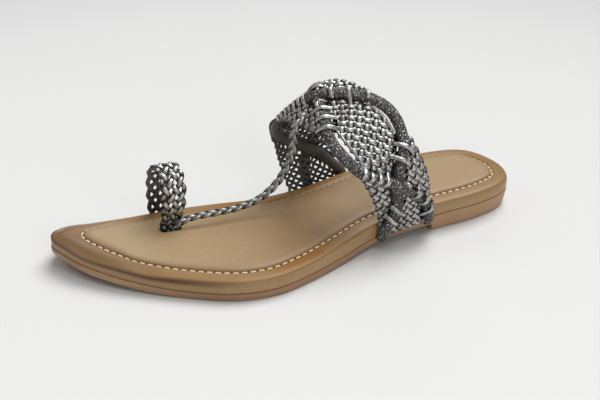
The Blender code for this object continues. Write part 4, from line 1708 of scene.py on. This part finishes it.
@dataclass
class ToeCord:
    """Plait of three strips from the band to the toe post."""

    wall: BandWall
    step: float = 0.40
    half_width: float = 1.00
    half_depth: float = 0.56
    strip_width: float = 0.88
    strip_thick: float = 0.58
    period: float = 17.0
    fuller: float = 0.32
    full_start: float = 1.6
    full_fall: float = 2.9
    crown_lift: float = 0.45
    strands: int = 3
    sides: int = 8
    span_steps: int = 24
    face: Point = (0.38, 0.79, 0.48)
    loop: tuple[Point, ...] = ((7.06, 0.23, -1.6), (7.06, 0.15, 1.3),
                                                     (7.05, 0.05, 1.9), (7.03, -0.06, 1.2))

    def middle_line(self) -> np.ndarray:
        """Line of the plait: a loop over the band's front edge, then down to the toe post.

        Returns:
            Points along the line.
        """
        fold, across, lift = np.array(self.loop).T
        top, _ = self.wall.place(fold, across, lift)
        return smooth_path(np.concatenate((top, shares_to_mm(TOE_CORD))), self.span_steps)

    def build(self) -> None:
        """Model and dress the plait."""
        centre = self.middle_line()
        count = round(arc_lengths(centre)[-1] / self.step)
        path = resampled(centre, count)
        along = unit(np.gradient(path, axis=0))
        side = unit(np.cross(along, np.tile(self.face, (count, 1))))
        face = np.cross(side, along)
        angle = 2.0 * np.pi * self.step * np.arange(count) / self.period
        full = np.clip(self.full_start - self.full_fall * np.linspace(0.0, 1.0, count), 0.0, 1.0)
        size = 1.0 + self.fuller * full
        strips = Strips(sides=self.sides)
        for strand in range(self.strands):
            turn = angle + 2.0 * np.pi * strand / self.strands
            line = path + side * (self.half_width * size * np.sin(turn))[:, None]
            line = line + face * (self.half_depth * size * np.sin(2.0 * turn))[:, None]
            crown = np.sin(2.0 * turn) + self.crown_lift
            strips.add(line, face, self.strip_width * size, self.strip_thick * size, crown)
        cord = strips.make("toe_cord_braid")
        plait = PewterStrip("toe cord strips", tone=(0.440, 0.436, 0.430),
                            shade=(0.200, 0.198, 0.195), post=0.020)
        dress(cord, plait.make(), "toe_cord", "upper_toe_cord")


@dataclass(frozen=True)
class SoftBox:
    """Round soft box of the studio: place and size in metres, power in watts."""

    name: str
    place: Point
    size: float
    power: float


@dataclass
class Studio:
    """Pale floor, soft lights and the camera."""

    floor_size: float = 8.0
    camera_place: Point = (0.20116, 0.41757, 0.27516)
    camera_aim: Point = (-0.37956, -0.79157, -0.47890)
    lens: float = 60.0
    sensor: float = 36.0
    lit_point: Point = (0.0, 0.0, 0.03)
    sun_place: Point = (-1.12, -0.62, 2.25)
    sun_power: float = 2.42
    sun_angle: float = 38.0
    surroundings: float = 0.18
    boxes: tuple[SoftBox, ...] = (
        SoftBox("back box", (-0.70, -1.45, 0.95), 1.0, 2.2),
        SoftBox("top strip", (-0.05, 0.35, 1.10), 0.60, 2.4),
        SoftBox("side box", (0.70, -0.45, 0.85), 0.5, 1.1),
        SoftBox("front fill", (-0.05, 1.12, 0.55), 0.8, 2.6),
    )

    def lamp(self, name: str, kind: str, place: Point, power: float) -> bpy.types.Light:
        """Lamp that points at the shoe.

        Args:
            name: Name of the lamp.
            kind: Blender's kind of light.
            place: Where it hangs.
            power: Its strength.

        Returns:
            The light.
        """
        deselect()
        bpy.ops.object.light_add(type=kind, location=place)
        lamp = bpy.context.object
        lamp.name = name
        lamp.data.energy = power
        towards = Vector(self.lit_point) - Vector(place)
        lamp.rotation_euler = towards.to_track_quat("-Z", "Y").to_euler()
        return lamp.data

    def build(self) -> None:
        """Set up floor, lights, surroundings and camera."""
        deselect()
        bpy.ops.mesh.primitive_plane_add(size=self.floor_size)
        floor = bpy.context.object
        floor.name = "studio_floor"
        floor.data.materials.append(Paper().make())
        sun = self.lamp("ceiling light", "SUN", self.sun_place, self.sun_power)
        sun.angle = math.radians(self.sun_angle)
        for box in self.boxes:
            lamp = self.lamp(box.name, "AREA", box.place, box.power)
            lamp.shape = "DISK"
            lamp.size = box.size
        world = bpy.data.worlds.new("studio")
        world.use_nodes = True
        background = world.node_tree.nodes["Background"]
        background.inputs["Color"].default_value = (1.0, 1.0, 1.0, 1.0)
        background.inputs["Strength"].default_value = self.surroundings
        bpy.context.scene.world = world
        bpy.context.scene.view_settings.view_transform = "Standard"
        deselect()
        bpy.ops.object.camera_add(location=self.camera_place)
        camera = bpy.context.object
        camera.rotation_euler = Vector(self.camera_aim).to_track_quat("-Z", "Y").to_euler()
        camera.data.lens = self.lens
        camera.data.sensor_width = self.sensor
        bpy.context.scene.camera = camera


def main() -> None:
    """Build every piece of the shoe and the studio round it."""
    logging.basicConfig(level=logging.INFO, format="%(message)s")
    Sole(Last()).build()
    wall = BandWall()
    InstepBand(wall).build()
    ToeRing().build()
    ToeCord(wall).build()
    Studio().build()


if __name__ == "__main__":
    main()
